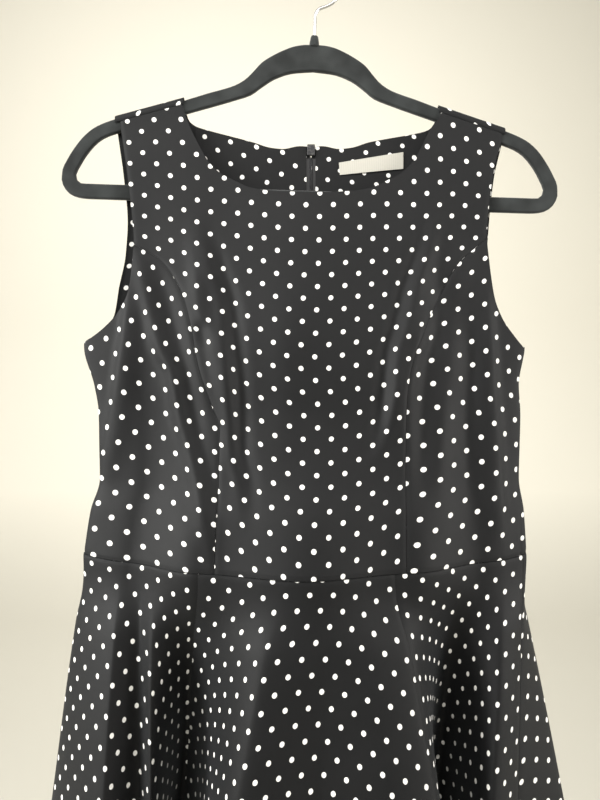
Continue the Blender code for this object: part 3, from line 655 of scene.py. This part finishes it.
def cloth_grid(name, outer, normal, cut, material, wall=WALL, down=None):
    rows, columns = outer.shape[:2]
    faces = grid_faces(rows, columns, lambda i, j: i * columns + j)
    return cloth_piece(name, outer.reshape(-1, 3), normal.reshape(-1, 3), cut.reshape(-1, 2),
                       faces, material, wall, down)


def bodice_piece(name, domain, grain, material, seams, outside=0.0, wall=WALL,
                 trimmed=("left", "right", "bottom", "top")):
    turn, z_mm = domain[..., 0], domain[..., 1]
    outer = bodice_at(turn, z_mm)
    normal = inward(bodice_at, turn, z_mm)
    outer = outer + outside * normal
    outer = roll_edges(outer, normal, seams)
    trim(outer, trimmed)
    return cloth_grid(name, outer, normal, cut_places(domain, grain), material, wall)


def joined_line(parts, ends, shares):
    """Places on lines joined end to end, where ends gives the share at which each one ends."""
    shares = np.asarray(shares)
    found = np.zeros((len(shares), 2))
    start = 0.0
    for part, end in zip(parts, ends):
        inside = (shares >= start - 1e-9) & (shares <= end + 1e-9)
        found[inside] = part(np.clip((shares[inside] - start) / (end - start), 0, 1))
        start = end
    return found


def shoulder_front(first, last):
    def line(shares):
        x = first + (last - first) * shares
        z = arm_top(x) - (WRAP_DROP + SHOULDER_LAP) / MM
        return front_turn(np.stack((x, z), axis=-1))
    return line


def waist_line(first, last, us):
    turn = first + (last - first) * np.asarray(us)
    return np.stack((turn, waist_z(turn)), axis=-1)


PRINCESS_SHARE = 0.70  # of a front edge's height, up to the armhole
STRAP_SHARE = 0.17  # of the width, each shoulder
# Grain: how far across and up the repeat a place lies, in millimetres: a start, then for each
# decimetre across and up, and their products
GRAIN_CENTRE = (
    (5.215, 6.417), (100.4, 3.817), (4.561, 93.96), (0.6688, -20.71), (0.9269, 0.1796),
    (-4.58, 3.306), (0.4866, 1.11), (-0.03895, 6.327), (-0.4416, -0.2544), (0.8248, -0.7975))


def centre_front():
    us = spread(0.34, (STRAP_SHARE, 1 - STRAP_SHARE), FINE_STEP)
    vs = spread(0.40, (PRINCESS_SHARE,))
    sides = []
    for princess, armhole in ((PRINCESS_LEFT, ARMHOLE_LEFT), (PRINCESS_RIGHT, ARMHOLE_RIGHT)):
        sides.append(joined_line((lambda s, p=princess: front_turn(along(p, s)),
                                  lambda s, a=armhole: front_turn(along(a, s))),
                                 (PRINCESS_SHARE, 1.0), vs))
    left, right = sides
    top = joined_line((shoulder_front(ARMHOLE_LEFT[-1][0], NECK_FRONT[0][0]),
                       lambda s: front_turn(along(NECK_FRONT, s)),
                       shoulder_front(NECK_FRONT[-1][0], ARMHOLE_RIGHT[-1][0])),
                      (STRAP_SHARE, 1 - STRAP_SHARE, 1.0), us)
    for edge in (left, right):
        edge[0, 1] = waist_z(edge[0, 0])
    left[-1], right[-1] = top[0], top[-1]
    bottom = waist_line(left[0, 0], right[0, 0], us)
    return coons(bottom, top, left, right, us, vs)


bodice_cloth = dotted_cloth("dotted_cotton_bodice", True)
front_domain = centre_front()
front = bodice_piece("centre_front", front_domain, GRAIN_CENTRE, bodice_cloth, ("left", "right", "bottom"))
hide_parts("bodice_front_centre")
dotted_pieces = [front]

# ---------------------------------------------------------------------------
# Side fronts: the two panels outside the princess seams, from the armhole to
# the waist. Each is cut on a slightly turned grain and sewn edge to edge to
# the centre front, with the seam pressed in.

SIDE_SEAM_LEFT_DEG = -90
SIDE_SEAM_RIGHT_DEG = 75
UNDERARM_LEFT = ((-164.5, -263), (-165.2, -280), (-167.5, -305), (-176, -323), (-190, -338.5),
                 (-208.5, -352))
UNDERARM_RIGHT = ((152, -257), (153.5, -275), (157.5, -310), (164.5, -330), (175, -345.5), (186, -358.5))
GRAIN_SIDES = {"left": ((6.298, 17.6), (98.79, 18.69), (26.87, 111.7), (8.094, 5.48), (13.81, 11.61),
                (-5.328, -0.8798)),
               "right": ((18.25, 14.47), (45.84, 1.643), (-10.75, 104.3), (14.43, -0.8298),
                (4.522, -7.263), (1.207, 0.4947))}


def side_seam(turn_deg, underarm_z, vs):
    turn = math.radians(turn_deg)
    z = waist_z(turn) + (underarm_z - waist_z(turn)) * np.asarray(vs)
    return np.stack((np.full(len(z), turn), z), axis=-1)


def side_front(princess, under, seam_deg, flip):
    vs = spread(0.29)
    us = spread(0.11, (), FINE_STEP)
    inner_edge = front_turn(along(princess, vs))
    inner_edge[0, 1] = waist_z(inner_edge[0, 0])
    outer_edge = side_seam(seam_deg, under[-1][1], vs)
    top = front_turn(along(under, us))
    top[-1] = outer_edge[-1]
    bottom = waist_line(inner_edge[0, 0], outer_edge[0, 0], us)
    if flip:
        mirrored = 1 - us[::-1]
        return coons(bottom[::-1], top[::-1], outer_edge, inner_edge, mirrored, vs)
    return coons(bottom, top, inner_edge, outer_edge, us, vs)


for side_name, princess, under, seam_deg, flip in (
        ("left", PRINCESS_LEFT, UNDERARM_LEFT, SIDE_SEAM_LEFT_DEG, True),
        ("right", PRINCESS_RIGHT, UNDERARM_RIGHT, SIDE_SEAM_RIGHT_DEG, False)):
    domain = side_front(princess, under, seam_deg, flip)
    side_piece = bodice_piece(f"side_front_{side_name}", domain, GRAIN_SIDES[side_name], bodice_cloth,
                              ("left", "right", "bottom"))
    dotted_pieces.append(side_piece)
    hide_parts(f"bodice_side_front_{side_name}")

# ---------------------------------------------------------------------------
# Backs: two panels that meet at the zip. At each shoulder the strap turns over
# the hanger's arm and comes down to the shoulder seam in front.

NECK_BACK = (
    (-121, -135), (-117, -147), (-111, -152), (-98, -156), (-78, -161), (-59, -166), (-42, -171),
    (-31, -172), (-16, -169.5), (-6.5, -170))
ARMHOLE_BACK_LEFT = (
    (-208.5, -352), (-195, -339), (-186, -324), (-182, -300), (-176, -270), (-174, -243),
    (-177, -200), (-183, -152))
ARMHOLE_BACK_RIGHT = ((178, -355), (166, -332), (158, -305), (156, -273), (158, -240), (162, -200),
                      (170, -163))
TURN_SCALE = 60  # millimetres that a radian of turn counts for along a back's armhole
CENTRE_BACK = -5.5
ZIP_GAP = 0.45 * MM
SEAM_SHARE = 0.44  # of a back's outer edge, up to the underarm
BACK_STRAP_SHARE = 0.32
WRAP_STEPS = 14
GRAIN_BACK = {"left": ((4.0, 5.5), (-100, 2), (2, 100)), "right": ((9.4, 1.3), (-100, -2), (-2, 100))}


def neck_back(side, shares, first=0):
    rows = [(x, z) if side < 0 else (2 * CENTRE_BACK - x, z - 5 * (abs(x) > 60) * (abs(x) - 60) / 60)
            for x, z in NECK_BACK[first:]]
    return along(rows, shares)


def strap_back(first, last, side):
    def line(shares):
        x = first + (last - first) * shares
        return back_turn(np.stack((x, arm_top(x) - WRAP_DROP / MM), axis=-1), side)
    return line


def armhole_back(arm_edge, side, start, shares):
    """Turn and height along a back's armhole, from the side seam round to the shoulder."""
    edge = np.vstack((start, back_turn(arm_edge, side)))
    if side < 0:
        edge = np.delete(edge, 1, axis=0)
    edge[:, 0] *= TURN_SCALE
    line = along(edge, shares)
    line[:, 0] /= TURN_SCALE
    return line


def back_panel(side):
    name = "left" if side < 0 else "right"
    arm_edge = ARMHOLE_BACK_LEFT if side < 0 else ARMHOLE_BACK_RIGHT
    seam_deg = SIDE_SEAM_LEFT_DEG if side < 0 else SIDE_SEAM_RIGHT_DEG
    us = spread(0.20, (BACK_STRAP_SHARE,))
    vs = spread(0.39, (SEAM_SHARE,))
    under = UNDERARM_LEFT if side < 0 else UNDERARM_RIGHT
    start = (math.radians(seam_deg), under[-1][1])
    outer_edge = joined_line((lambda s: side_seam(seam_deg, under[-1][1], s),
                              lambda s: armhole_back(arm_edge, side, start, s)), (SEAM_SHARE, 1.0), vs)
    top = joined_line((strap_back(arm_edge[-1][0], neck_back(side, 2)[0][0], side),
                       lambda s: back_turn(neck_back(side, s), side)), (BACK_STRAP_SHARE, 1.0), us)
    centre_x = CENTRE_BACK + side * ZIP_GAP / MM
    low, high = WAIST_SIDE - WAIST_DIP, NECK_BACK[-1][1]
    centre = back_turn(np.stack((np.full(len(vs), centre_x), low + (high - low) * vs), axis=-1), side)
    outer_edge[-1], top[-1] = top[0], centre[-1]
    bottom = waist_line(outer_edge[0, 0], centre[0, 0], us)
    bottom[-1] = centre[0]
    domain = coons(bottom, top, outer_edge, centre, us, vs)
    turn, z_mm = domain[..., 0], domain[..., 1]
    outer = bodice_at(turn, z_mm)
    normal = inward(bodice_at, turn, z_mm)
    outer = roll_edges(outer, normal, ("left", "bottom", "right"))
    trim(outer, ("left", "bottom"))
    grain = GRAIN_BACK[name]
    cut = cut_places(domain, grain)
    rows, columns = outer.shape[:2]
    straps = int(np.argmin(np.abs(us - BACK_STRAP_SHARE))) + 1
    x = outer[-1, :straps, 0]
    middle = arm_top(x / MM) * MM - WRAP_DROP
    normal[-1, :straps] = (0, -1, 0)
    outer[-1, :straps, 1] = WRAP_R
    outer[-1, :straps, 2] = middle
    wrap, wrap_normal, wrap_cut = [], [], []
    up = np.array(grain[2]) / 100
    for step in range(1, WRAP_STEPS + 1):
        angle = math.pi * step / WRAP_STEPS
        way = np.array((0, math.cos(angle), math.sin(angle)))
        place = np.stack((x, np.full_like(x, WRAP_R * way[1]), middle + WRAP_R * way[2]), axis=-1)
        wrap.append(place)
        wrap_normal.append(np.broadcast_to(-way, place.shape))
        wrap_cut.append(cut[-1, :straps] + up * WRAP_R * angle)
    for drop in (1.2 * MM, SHOULDER_LAP - 2 * SEAM_TRIM):
        place = wrap[WRAP_STEPS - 1] - np.array((0, 0, drop))
        if drop > 2 * MM:
            place = place + np.array((0, SEAM_ROLL * 0.6, 0))
        wrap.append(place)
        wrap_normal.append(wrap_normal[WRAP_STEPS - 1])
        wrap_cut.append(cut[-1, :straps] + up * (WRAP_R * math.pi + drop))
    total = rows * columns
    faces = grid_faces(rows, columns, lambda i, j: i * columns + j)
    faces += grid_faces(1 + len(wrap), straps,
                        lambda i, j: (rows - 1) * columns + j if i == 0
                        else total + (i - 1) * straps + j)
    points = np.concatenate([outer.reshape(-1, 3), np.stack(wrap).reshape(-1, 3)])
    normals = np.concatenate([normal.reshape(-1, 3), np.stack(wrap_normal).reshape(-1, 3)])
    places = np.concatenate([cut.reshape(-1, 2), np.stack(wrap_cut).reshape(-1, 2)])
    return cloth_piece(f"back_{name}", points, normals, places, faces, bodice_cloth)


for side, side_name in ((-1, "left"), (1, "right")):
    back_piece = back_panel(side)
    dotted_pieces.append(back_piece)
    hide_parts(f"bodice_back_{side_name}")

# ---------------------------------------------------------------------------
# Back neck facings: strips of the same cloth inside the back neck, right side
# showing, sewn along the neck edge and stopped short of the zip.

FACING_WALL = 0.8 * MM
LAYER_GAP = 0.3 * MM
FACING_DEPTH = 55 * MM
FACING_START = 2
FACING_STOP = 4.2  # millimetres from centre back
GRAIN_FACING = {"left": ((23.23, 4.463), (100.9, -21.21), (16.01, 98.33)),
                "right": ((11.28, 11.15), (107.7, -10.58), (-14.16, 109.5))}

for side, side_name in ((-1, "left"), (1, "right")):
    us = spread(0.10)
    upper_xz = neck_back(side, us, FACING_START)
    last = CENTRE_BACK + side * FACING_STOP
    upper_xz[:, 0] = np.where((upper_xz[:, 0] - last) * side < 0, last + side * 0.02 * (us - 1),
                              upper_xz[:, 0])
    lower_xz = upper_xz - np.array((0, FACING_DEPTH / MM))
    upper = back_turn(upper_xz - np.array((0, 0.6)), side)
    lower = back_turn(lower_xz, side)
    vs = spread(FACING_DEPTH)[:, None, None]
    domain = lower[None] * (1 - vs) + upper[None] * vs
    facing = bodice_piece(f"neck_facing_{side_name}", domain, GRAIN_FACING[side_name], bodice_cloth,
                          (), WALL + LAYER_GAP, FACING_WALL, ())
    dotted_pieces.append(facing)
    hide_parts(f"back_facing_{side_name}")

# ---------------------------------------------------------------------------
# Skirt: three front panels and two backs, cut as parts of a ring, so that the
# cloth falls from the waist seam in deep folds that grow towards the hem. Each
# panel's grain runs down its middle, and the hem is turned up and stitched.

# The fold lines round the skirt: X and depth at knee height, then at the hem, in millimetres
FOLDS = (
    ("back", -5.5, -14, -6, -18),
    ("back", -24, 36, -36, 52),
    ("back", -42, -18, -60, -20),
    ("back", -64, 62, -84, 130),
    ("back", -106, -26, -145, -30),
    ("back", -152, 20, -206, -6),
    ("back", -176, -14, -234, -22),
    ("back", -210, -4, -266, -6),
    ("left", -231, 28, -283, 40),
    ("front", -172, 86, -236, 158),
    ("front", -148, 62, -207, 84),
    ("front", -133, 82, -182, 172),
    ("front", -119, 7, -160, 2),
    ("front", -71, 120, -96, 204),
    ("front", -2, 106, -4, 98),
    ("front", 55, 121, 70, 207),
    ("front", 95, 107, 128, 190),
    ("front", 106, 7, 143, 2),
    ("front", 134, 86, 178, 184),
    ("right", 163, 62, 222, 66),
    ("flank", 214, 24, 284, 34),
    ("flank", 203, -2, 264, 0),
    ("back", 178, -16, 238, -20),
    ("back", 144, 22, 198, 36),
    ("back", 106, -26, 137, -32),
    ("back", 70, 62, 92, 132),
    ("back", 46, -18, 56, -20),
    ("back", 16, 48, 24, 54))
WAIST_SEAM = WAIST_SIDE - WAIST_DIP / 2
WAIST_MIDDLE, WAIST_HALF = -11.5, 195.5
FULLNESS = 0.6
FOLD_STEPS = 18
SKIRT_LENGTH = 590
HIP = 0.17
KNEE = 0.356
HIP_SHARES = {"front": 0.52, "left": 0.52, "right": 0.54, "flank": 0.5, "back": 0.2}
QUARTER_SHARES = (0.25, 0.5, 0.25)
CUT_ANGLE = math.radians(265)  # of the whole ring
CUT_WAIST_R = 0.1812
HEM_FOLD = 14 * MM


def fold_ring(points, steps):
    points = np.asarray(points, dtype=float)
    ahead = np.roll(points, -1, axis=0)
    way = ahead - np.roll(points, 1, axis=0)
    way /= np.linalg.norm(way, axis=1, keepdims=True)
    chord = np.linalg.norm(ahead - points, axis=1, keepdims=True)
    start = way * chord * FULLNESS
    end = np.roll(way, -1, axis=0) * chord * FULLNESS
    t = np.linspace(0, 1, steps, endpoint=False)[None, :, None]
    curve = (points[:, None] * (1 + 2 * t) * (1 - t) ** 2 + start[:, None] * t * (1 - t) ** 2
             + ahead[:, None] * t * t * (3 - 2 * t) + end[:, None] * t * t * (t - 1))
    return curve.reshape(-1, points.shape[1])


def ring_length(ring):
    return np.linalg.norm(np.roll(ring, -1, axis=0) - ring, axis=1)


def waist_ring(shares):
    turn = -np.pi - np.arcsin((CENTRE_BACK - WAIST_MIDDLE) / WAIST_HALF) + np.linspace(0, 2 * np.pi, 1441)
    line = bodice_at(turn, np.full_like(turn, WAIST_SEAM), creased=False)
    length = np.concatenate([[0], np.cumsum(np.linalg.norm(np.diff(line, axis=0), axis=1))])
    at = np.interp(shares, length / length[-1], turn)
    return bodice_at(at, np.full_like(at, WAIST_SEAM))[:, :2], at


def skirt_shares():
    knee = np.array([(x, -d) for _, x, d, _, _ in FOLDS])
    hem = np.array([(x, -d) for _, _, _, x, d in FOLDS])
    kinds = [row[0] for row in FOLDS]
    ends = (0, kinds.index("left"), kinds.index("right"), len(FOLDS))
    lengths = ring_length(fold_ring(knee, 24)).reshape(len(FOLDS), -1).sum(axis=1)
    for first, last, share in zip(ends[:-1], ends[1:], QUARTER_SHARES):
        lengths[first:last] *= share / lengths[first:last].sum()
    return np.concatenate([[0], np.cumsum(lengths)[:-1]]), knee * MM, hem * MM


def even_shares(ring, shares):
    """The cut share at each ring place, even along the cloth between the fold lines."""
    steps = len(ring) // len(FOLDS)
    run = ring_length(ring).reshape(len(FOLDS), steps)
    inside = np.concatenate([np.zeros((len(FOLDS), 1)), np.cumsum(run, axis=1)[:, :-1]], axis=1)
    inside /= run.sum(axis=1, keepdims=True)
    ends = np.append(shares, 1.0)
    return (ends[:-1, None] + inside * np.diff(ends)[:, None]).reshape(-1)


def skirt_rings(steps, rows):
    """Rings of the skirt from the waist to the hem, and the cut share of each place."""
    shares, knee, hem = skirt_shares()
    waist, _ = waist_ring(shares)
    part_share = np.array([HIP_SHARES[row[0]] for row in FOLDS])
    hip = waist + (knee - waist) * part_share[:, None]
    knots = np.stack((waist, hip, knee, hem)).reshape(4, -1)
    fine = np.interp(np.arange(len(FOLDS) * steps) / steps, np.arange(len(FOLDS) + 1),
                     np.append(shares, 1.0))
    snug, turn = waist_ring(fine)
    drop = np.abs(np.cos(turn)) * WAIST_DIP
    rings, places = [], []
    for part in rows:
        here = smooth(np.array([part]), (0.0, HIP, KNEE, 1.0), knots)[0].reshape(-1, 2)
        ring = fold_ring(here, steps)
        settle = ease(1 - part / 0.1)
        ring = ring * (1 - settle) + snug * settle
        z = (WAIST_SIDE - drop * (1 - part) - SKIRT_LENGTH * part) * MM
        rings.append(np.concatenate([ring, z[:, None]], axis=1))
        share = even_shares(ring, shares)
        angle = (share - 0.5) * CUT_ANGLE
        reach = CUT_WAIST_R + part * SKIRT_LENGTH * MM
        places.append(np.stack((reach * np.sin(angle), -reach * np.cos(angle)), axis=-1))
    return np.stack(rings), np.stack(places)


FRONT_SEAMS = (12, 16)  # rows of the fold table
# Each panel's grain, in degrees from the middle of the ring, and where its repeat starts
SKIRT_GRAIN = {"skirt_back_l": (-99, 3, 5), "skirt_front_l": (-63, 2, 7), "skirt_front_c": (3, 0, 0),
               "skirt_front_r": (65, 9, 3), "skirt_back_r": (99, 3, 5)}


def grain_along(degrees, across, up):
    """The grain table of a piece whose grain leans by an angle."""
    lean = math.radians(degrees)
    cosine, sine = 100 * math.cos(lean), 100 * math.sin(lean)
    return (across, up), (cosine, -sine), (sine, cosine)


def ring_normals(points):
    across = np.roll(points, -1, axis=1) - np.roll(points, 1, axis=1)
    down = np.gradient(points, axis=0)
    normal = np.cross(across, down)
    return normal / np.linalg.norm(normal, axis=-1, keepdims=True)


skirt_cloth = dotted_cloth("dotted_cotton_skirt", False, SKIRT_LENGTH * MM - HEM_FOLD)
near_waist = np.array((0, 0.6, 1.3, 2.2, 3.4, 5)) / SKIRT_LENGTH
skirt_rows = np.concatenate([near_waist[:-1], np.linspace(near_waist[-1], 1, 105)])
rings, ring_cut = skirt_rings(FOLD_STEPS, skirt_rows)
ring_in = ring_normals(rings)
ring_count = rings.shape[1]
kinds = [row[0] for row in FOLDS]
left_seam = kinds.index("left") * FOLD_STEPS
right_seam = kinds.index("right") * FOLD_STEPS
front_left_seam = FRONT_SEAMS[0] * FOLD_STEPS
front_right_seam = FRONT_SEAMS[1] * FOLD_STEPS
for piece_name, nodes, first, last, size, cut_area in (
        ("skirt_back_l", ("skirt_back_left",), 0, left_seam, (0.84, 0.62), 0.325),
        ("skirt_front_l", ("skirt_front",), left_seam, front_left_seam, (0.52, 0.60), 0.194),
        ("skirt_front_c", (), front_left_seam, front_right_seam, (0.68, 0.61), 0.257),
        ("skirt_front_r", (), front_right_seam, right_seam, (0.53, 0.60), 0.198),
        ("skirt_back_r", ("skirt_back_right",), right_seam, ring_count, (0.84, 0.62), 0.325)):
    pick = [k % ring_count for k in range(first, last + 1)]
    points, way, cut = rings[:, pick].copy(), ring_in[:, pick], ring_cut[:, pick].copy()
    if last == ring_count:
        end_angle = 0.5 * CUT_ANGLE
        reach = CUT_WAIST_R + skirt_rows * SKIRT_LENGTH * MM
        cut[:, -1] = np.stack((reach * math.sin(end_angle), -reach * math.cos(end_angle)), axis=-1)
    cut = eased(cut, grain_along(*SKIRT_GRAIN[piece_name]))
    points = roll_edges(points[::-1], way[::-1], ("left", "right", "top"))
    way, cut = way[::-1], cut[::-1]
    trim(points, ("top",), 0.5 * MM)
    for edge, at in (("left", first), ("right", last)):
        pressed = at in (front_left_seam, front_right_seam)
        trim(points, (edge,), ZIP_GAP if at in (0, ring_count) else SEAM_TRIM * (0.3 if pressed else 1))
    length = np.repeat(skirt_rows[::-1] * SKIRT_LENGTH * MM, points.shape[1])
    skirt = cloth_grid(piece_name, points, way, cut, skirt_cloth, down=length)
    dotted_pieces.append(skirt)
    if nodes:
        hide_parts(*nodes)

for piece in dotted_pieces:
    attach(piece, "garment")

# ---------------------------------------------------------------------------
# Zip: a concealed zip down the centre back. Two rows of fine nylon coil close
# inside, below a small lacquered slider, and its teardrop pull hangs outside.

COIL_PITCH = 1.2 * MM
COIL_R = 0.55 * MM
COIL_WIRE = 0.26 * MM
COIL_AWAY = 0.62 * MM  # each row's centre from the zip's middle
COIL_DEPTH = 2.15 * MM
TAPE_HALF = 5.2 * MM
TAPE_WALL = 0.3 * MM
TAPE_DEPTH = 1.3 * MM
ZIP_TOP = -181
ZIP_END = -690


def zip_line(count):
    """The middle of the zip inside the centre back, from its top to its foot."""
    z = np.linspace(ZIP_TOP, WAIST_SIDE - WAIST_DIP, 40)
    flat = back_turn(np.stack((np.full(40, CENTRE_BACK), z), axis=-1), -1)
    upper = bodice_at(flat[:, 0], flat[:, 1])
    part = np.linspace(0.02, (WAIST_SIDE - ZIP_END) / SKIRT_LENGTH, 16)
    lower = skirt_rings(FOLD_STEPS, part)[0][:, 0]
    lower[:, 1] -= 1.3 * MM * ease(np.linspace(0.3, 3, 16))
    line = np.concatenate([upper, lower])
    run = np.concatenate([[0], np.cumsum(np.linalg.norm(np.diff(line, axis=0), axis=1))])
    at = np.linspace(0, run[-1], count)
    return np.stack([np.interp(at, run, line[:, k]) for k in range(3)], axis=-1), run[-1]


def coil_row(side, turns_from):
    steps = 7
    _, length = zip_line(2)
    turns = int(length / COIL_PITCH)
    line, _ = zip_line(turns * steps)
    route = []
    for k, place in enumerate(line):
        angle = 2 * math.pi * k / steps + turns_from
        x = place[0] + side * COIL_AWAY + COIL_R * 1.5 * math.cos(angle)
        y = place[1] - COIL_DEPTH + COIL_R * math.sin(angle)
        route.append((x, y, place[2]))
    return route


def zip_tape(material):
    """The woven tape behind the coils, in one strip across the closed zip."""
    line, _ = zip_line(150)
    columns = np.linspace(-1, 1, 5) * TAPE_HALF
    grid = np.repeat(line[:, None], 5, axis=1)
    grid[..., 0] += columns
    grid[..., 1] -= TAPE_DEPTH
    inside = np.broadcast_to((0.0, -1.0, 0.0), grid.shape)
    cut = np.stack(np.meshgrid(columns, np.linspace(0, 0.5, 150)), axis=-1)
    return cloth_grid("zip_tape", grid, inside, cut, material, TAPE_WALL)


def zip_black():
    made, tree, shader = new_material("zip_nylon", (0.018, 0.018, 0.02), 0.38)
    uneven_gloss(tree, shader, speckle(tree, 1200), 0.3, 0.5)
    return made


def zip_lacquer():
    made, tree, shader = new_material("zip_lacquer", (0.035, 0.035, 0.038), 0.3, 0.6)
    chips = speckle(tree, 600)
    two_tones(tree, shader, chips, 0.45, (0.03, 0.03, 0.033), 0.72, (0.09, 0.088, 0.085))
    add_bump(tree, shader, chips, 0.15, 0.0001)
    return made


coil_material = zip_black()
coils = [tube(f"zip_coil_{name}", coil_row(side, start), COIL_WIRE, coil_material, 1)
         for name, side, start in (("left", -1, 0.0), ("right", 1, math.pi))]
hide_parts("zip_coil")
tape = zip_tape(coil_material)
for coil in (*coils, tape):
    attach(coil, "garment")
lacquer = zip_lacquer()
for node in ("zip_slider", "zip_pull"):
    cad_piece = bpy.data.objects[node]
    cad_piece.data.materials.clear()
    cad_piece.data.materials.append(lacquer)

# ---------------------------------------------------------------------------
# Label: a small pale label of woven satin, sewn inside the right back below
# the neck edge. It is left blank.

LABEL = ((21, -196), (79, -190.5), (79, -175.5), (20, -185))
LABEL_WALL = 0.5 * MM
LABEL_DEPTH = 2.1 * MM + 2 * LAYER_GAP  # inside the outer face, past the back and its facing
LABEL_BOW = 0.35 * MM


def label_satin():
    made, tree, shader = new_material("label_satin", (0.78, 0.77, 0.74), 0.42)
    shader.inputs["Sheen Weight"].default_value = 0.2
    cut = add_node(tree, "ShaderNodeUVMap", uv_map=CUT_MAP).outputs["UV"]
    threads = [add_node(tree, "ShaderNodeTexWave", bands_direction=direction, in_Scale=scale,
                        in_Vector=cut).outputs["Fac"] for direction, scale in (("Y", 260), ("X", 160))]
    both = worked(tree, "ADD", *threads)
    two_tones(tree, shader, both, 0.0, (0.33, 0.32, 0.28), 0.6, (0.44, 0.425, 0.375))
    add_bump(tree, shader, both, 0.25, 0.0001)
    return made


def label_piece():
    us, vs = np.linspace(0, 1, 40), np.linspace(0, 1, 14)
    corner = np.asarray(LABEL, dtype=float)
    bottom = corner[0] * (1 - us[:, None]) + corner[1] * us[:, None]
    top = corner[3] * (1 - us[:, None]) + corner[2] * us[:, None]
    domain = np.stack([back_turn(bottom * (1 - v) + top * v, 1) for v in vs])
    turn, z_mm = domain[..., 0], domain[..., 1]
    normal = inward(bodice_at, turn, z_mm)
    bow = LABEL_BOW * np.sin(math.pi * us)[None, :, None]
    outer = bodice_at(turn, z_mm) + normal * (LABEL_DEPTH + bow)
    cut = np.stack(np.meshgrid(us * 0.058, vs * 0.0145), axis=-1)
    return cloth_grid("woven_label", outer, normal, cut, label_satin(), LABEL_WALL)


label = label_piece()
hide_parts("neck_label")
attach(label, "garment")

# ---------------------------------------------------------------------------
# Stage: a pale cream floor well below the hem that sweeps up far behind the
# dress, soft light from both sides and above, and a camera straight in front.

FLOOR_Z = -1.42
SWEEP_START = 2.4
SWEEP_R = 1.6
STAGE_CREAM = (0.84, 0.81, 0.715)
STAGE_FLOOR = (0.64, 0.62, 0.55)
STAGE_FADE = 0.45  # height over which the floor tone turns to cream
SKY_CREAM = (1.0, 0.965, 0.87)
SKY_LOW, SKY_HIGH = 0.85, 0.30  # strength near the horizon and overhead
FRONT_LOW, FRONT_HIGH = 0.3, 0.9  # the same in front of the dress
EYE = (-0.0156, -0.600, -0.4025)
FOCAL_MM = 29.7


def stage_sheet():
    rows = [(-9.0, FLOOR_Z), (SWEEP_START, FLOOR_Z)]
    for angle in np.radians(np.linspace(0, 90, 25))[1:]:
        rows.append((SWEEP_START + SWEEP_R * math.sin(angle), FLOOR_Z + SWEEP_R * (1 - math.cos(angle))))
    rows.append((SWEEP_START + SWEEP_R, 6.0))
    shape = bmesh.new()
    lines = [[shape.verts.new((x, y, z)) for y, z in rows] for x in (-9.0, 9.0)]
    for k in range(len(rows) - 1):
        shape.faces.new((lines[0][k], lines[1][k], lines[1][k + 1], lines[0][k + 1]))
    mesh = bpy.data.meshes.new("stage_sheet")
    shape.to_mesh(mesh)
    shape.free()
    mesh.shade_smooth()
    made, tree, shader = new_material("stage_cream", STAGE_CREAM, 0.9)
    place = add_node(tree, "ShaderNodeTexCoord")
    split = add_node(tree, "ShaderNodeSeparateXYZ", in_0=place.outputs["Object"])
    fade = add_node(tree, "ShaderNodeMapRange", in_0=split.outputs["Z"], in_1=FLOOR_Z,
                    in_2=FLOOR_Z + STAGE_FADE)
    shade = add_node(tree, "ShaderNodeMix", data_type="RGBA", in_0=fade.outputs[0],
                     in_6=(*STAGE_FLOOR, 1), in_7=(*STAGE_CREAM, 1))
    tree.links.new(shade.outputs[2], shader.inputs["Base Color"])
    mesh.materials.append(made)
    return in_scene("stage_sheet", mesh)


def soft_light(name, place, aim, size, watts, colour):
    data = bpy.data.lights.new(name, "AREA")
    data.shape = "RECTANGLE"
    data.size, data.size_y = size
    data.energy = watts
    data.spread = math.radians(120)
    data.color = colour
    made = in_scene(name, data)
    made.location = place
    made.rotation_euler = (Vector(aim) - Vector(place)).to_track_quat("-Z", "Y").to_euler()


stage_sheet()
soft_light("window", (-1.75, -0.75, 0.1), (-0.05, 0, -0.45), (0.9, 1.6), 36, (1.0, 1.0, 0.98))
soft_light("ceiling", (-0.1, -0.85, 0.5), (0, 0, -0.15), (1.8, 0.4), 6.5, (1.0, 0.985, 0.96))
soft_light("room", (1.75, -0.65, -0.1), (0, 0, -0.5), (0.7, 1.5), 17, (1.0, 0.98, 0.95))
soft_light("wall_wash", (-0.5, 0.5, 2.1), (-0.5, 4.0, 0.3), (3.0, 2.4), 64, (1.0, 0.99, 0.97))

world = bpy.data.worlds.new("pale_room")
world.use_nodes = True
sky = world.node_tree
look = add_node(sky, "ShaderNodeTexCoord")
parts = add_node(sky, "ShaderNodeSeparateXYZ", in_0=look.outputs["Generated"])
around = add_node(sky, "ShaderNodeMapRange", in_0=parts.outputs["Z"], in_1=0.12, in_2=0.6,
                  in_3=SKY_LOW, in_4=SKY_HIGH)
ahead = add_node(sky, "ShaderNodeMapRange", in_0=parts.outputs["Z"], in_1=-0.1, in_2=0.6,
                 in_3=FRONT_LOW, in_4=FRONT_HIGH)
turned_away = add_node(sky, "ShaderNodeMapRange", in_0=parts.outputs["Y"], in_1=-0.75, in_2=-0.05)
blend = add_node(sky, "ShaderNodeMix", data_type="FLOAT", in_0=turned_away.outputs[0],
                 in_2=ahead.outputs[0], in_3=around.outputs[0])
sky.nodes["Background"].inputs[0].default_value = (*SKY_CREAM, 1)
sky.links.new(blend.outputs[0], sky.nodes["Background"].inputs[1])
bpy.context.scene.world = world
bpy.context.scene.view_settings.view_transform = "Standard"

camera_data = bpy.data.cameras.new("camera")
camera_data.lens = FOCAL_MM
camera_data.sensor_width = 36
camera_data.clip_start = 0.01
camera = in_scene("camera", camera_data)
camera.location = EYE
camera.rotation_euler = (math.pi / 2, 0, 0)
bpy.context.scene.camera = camera
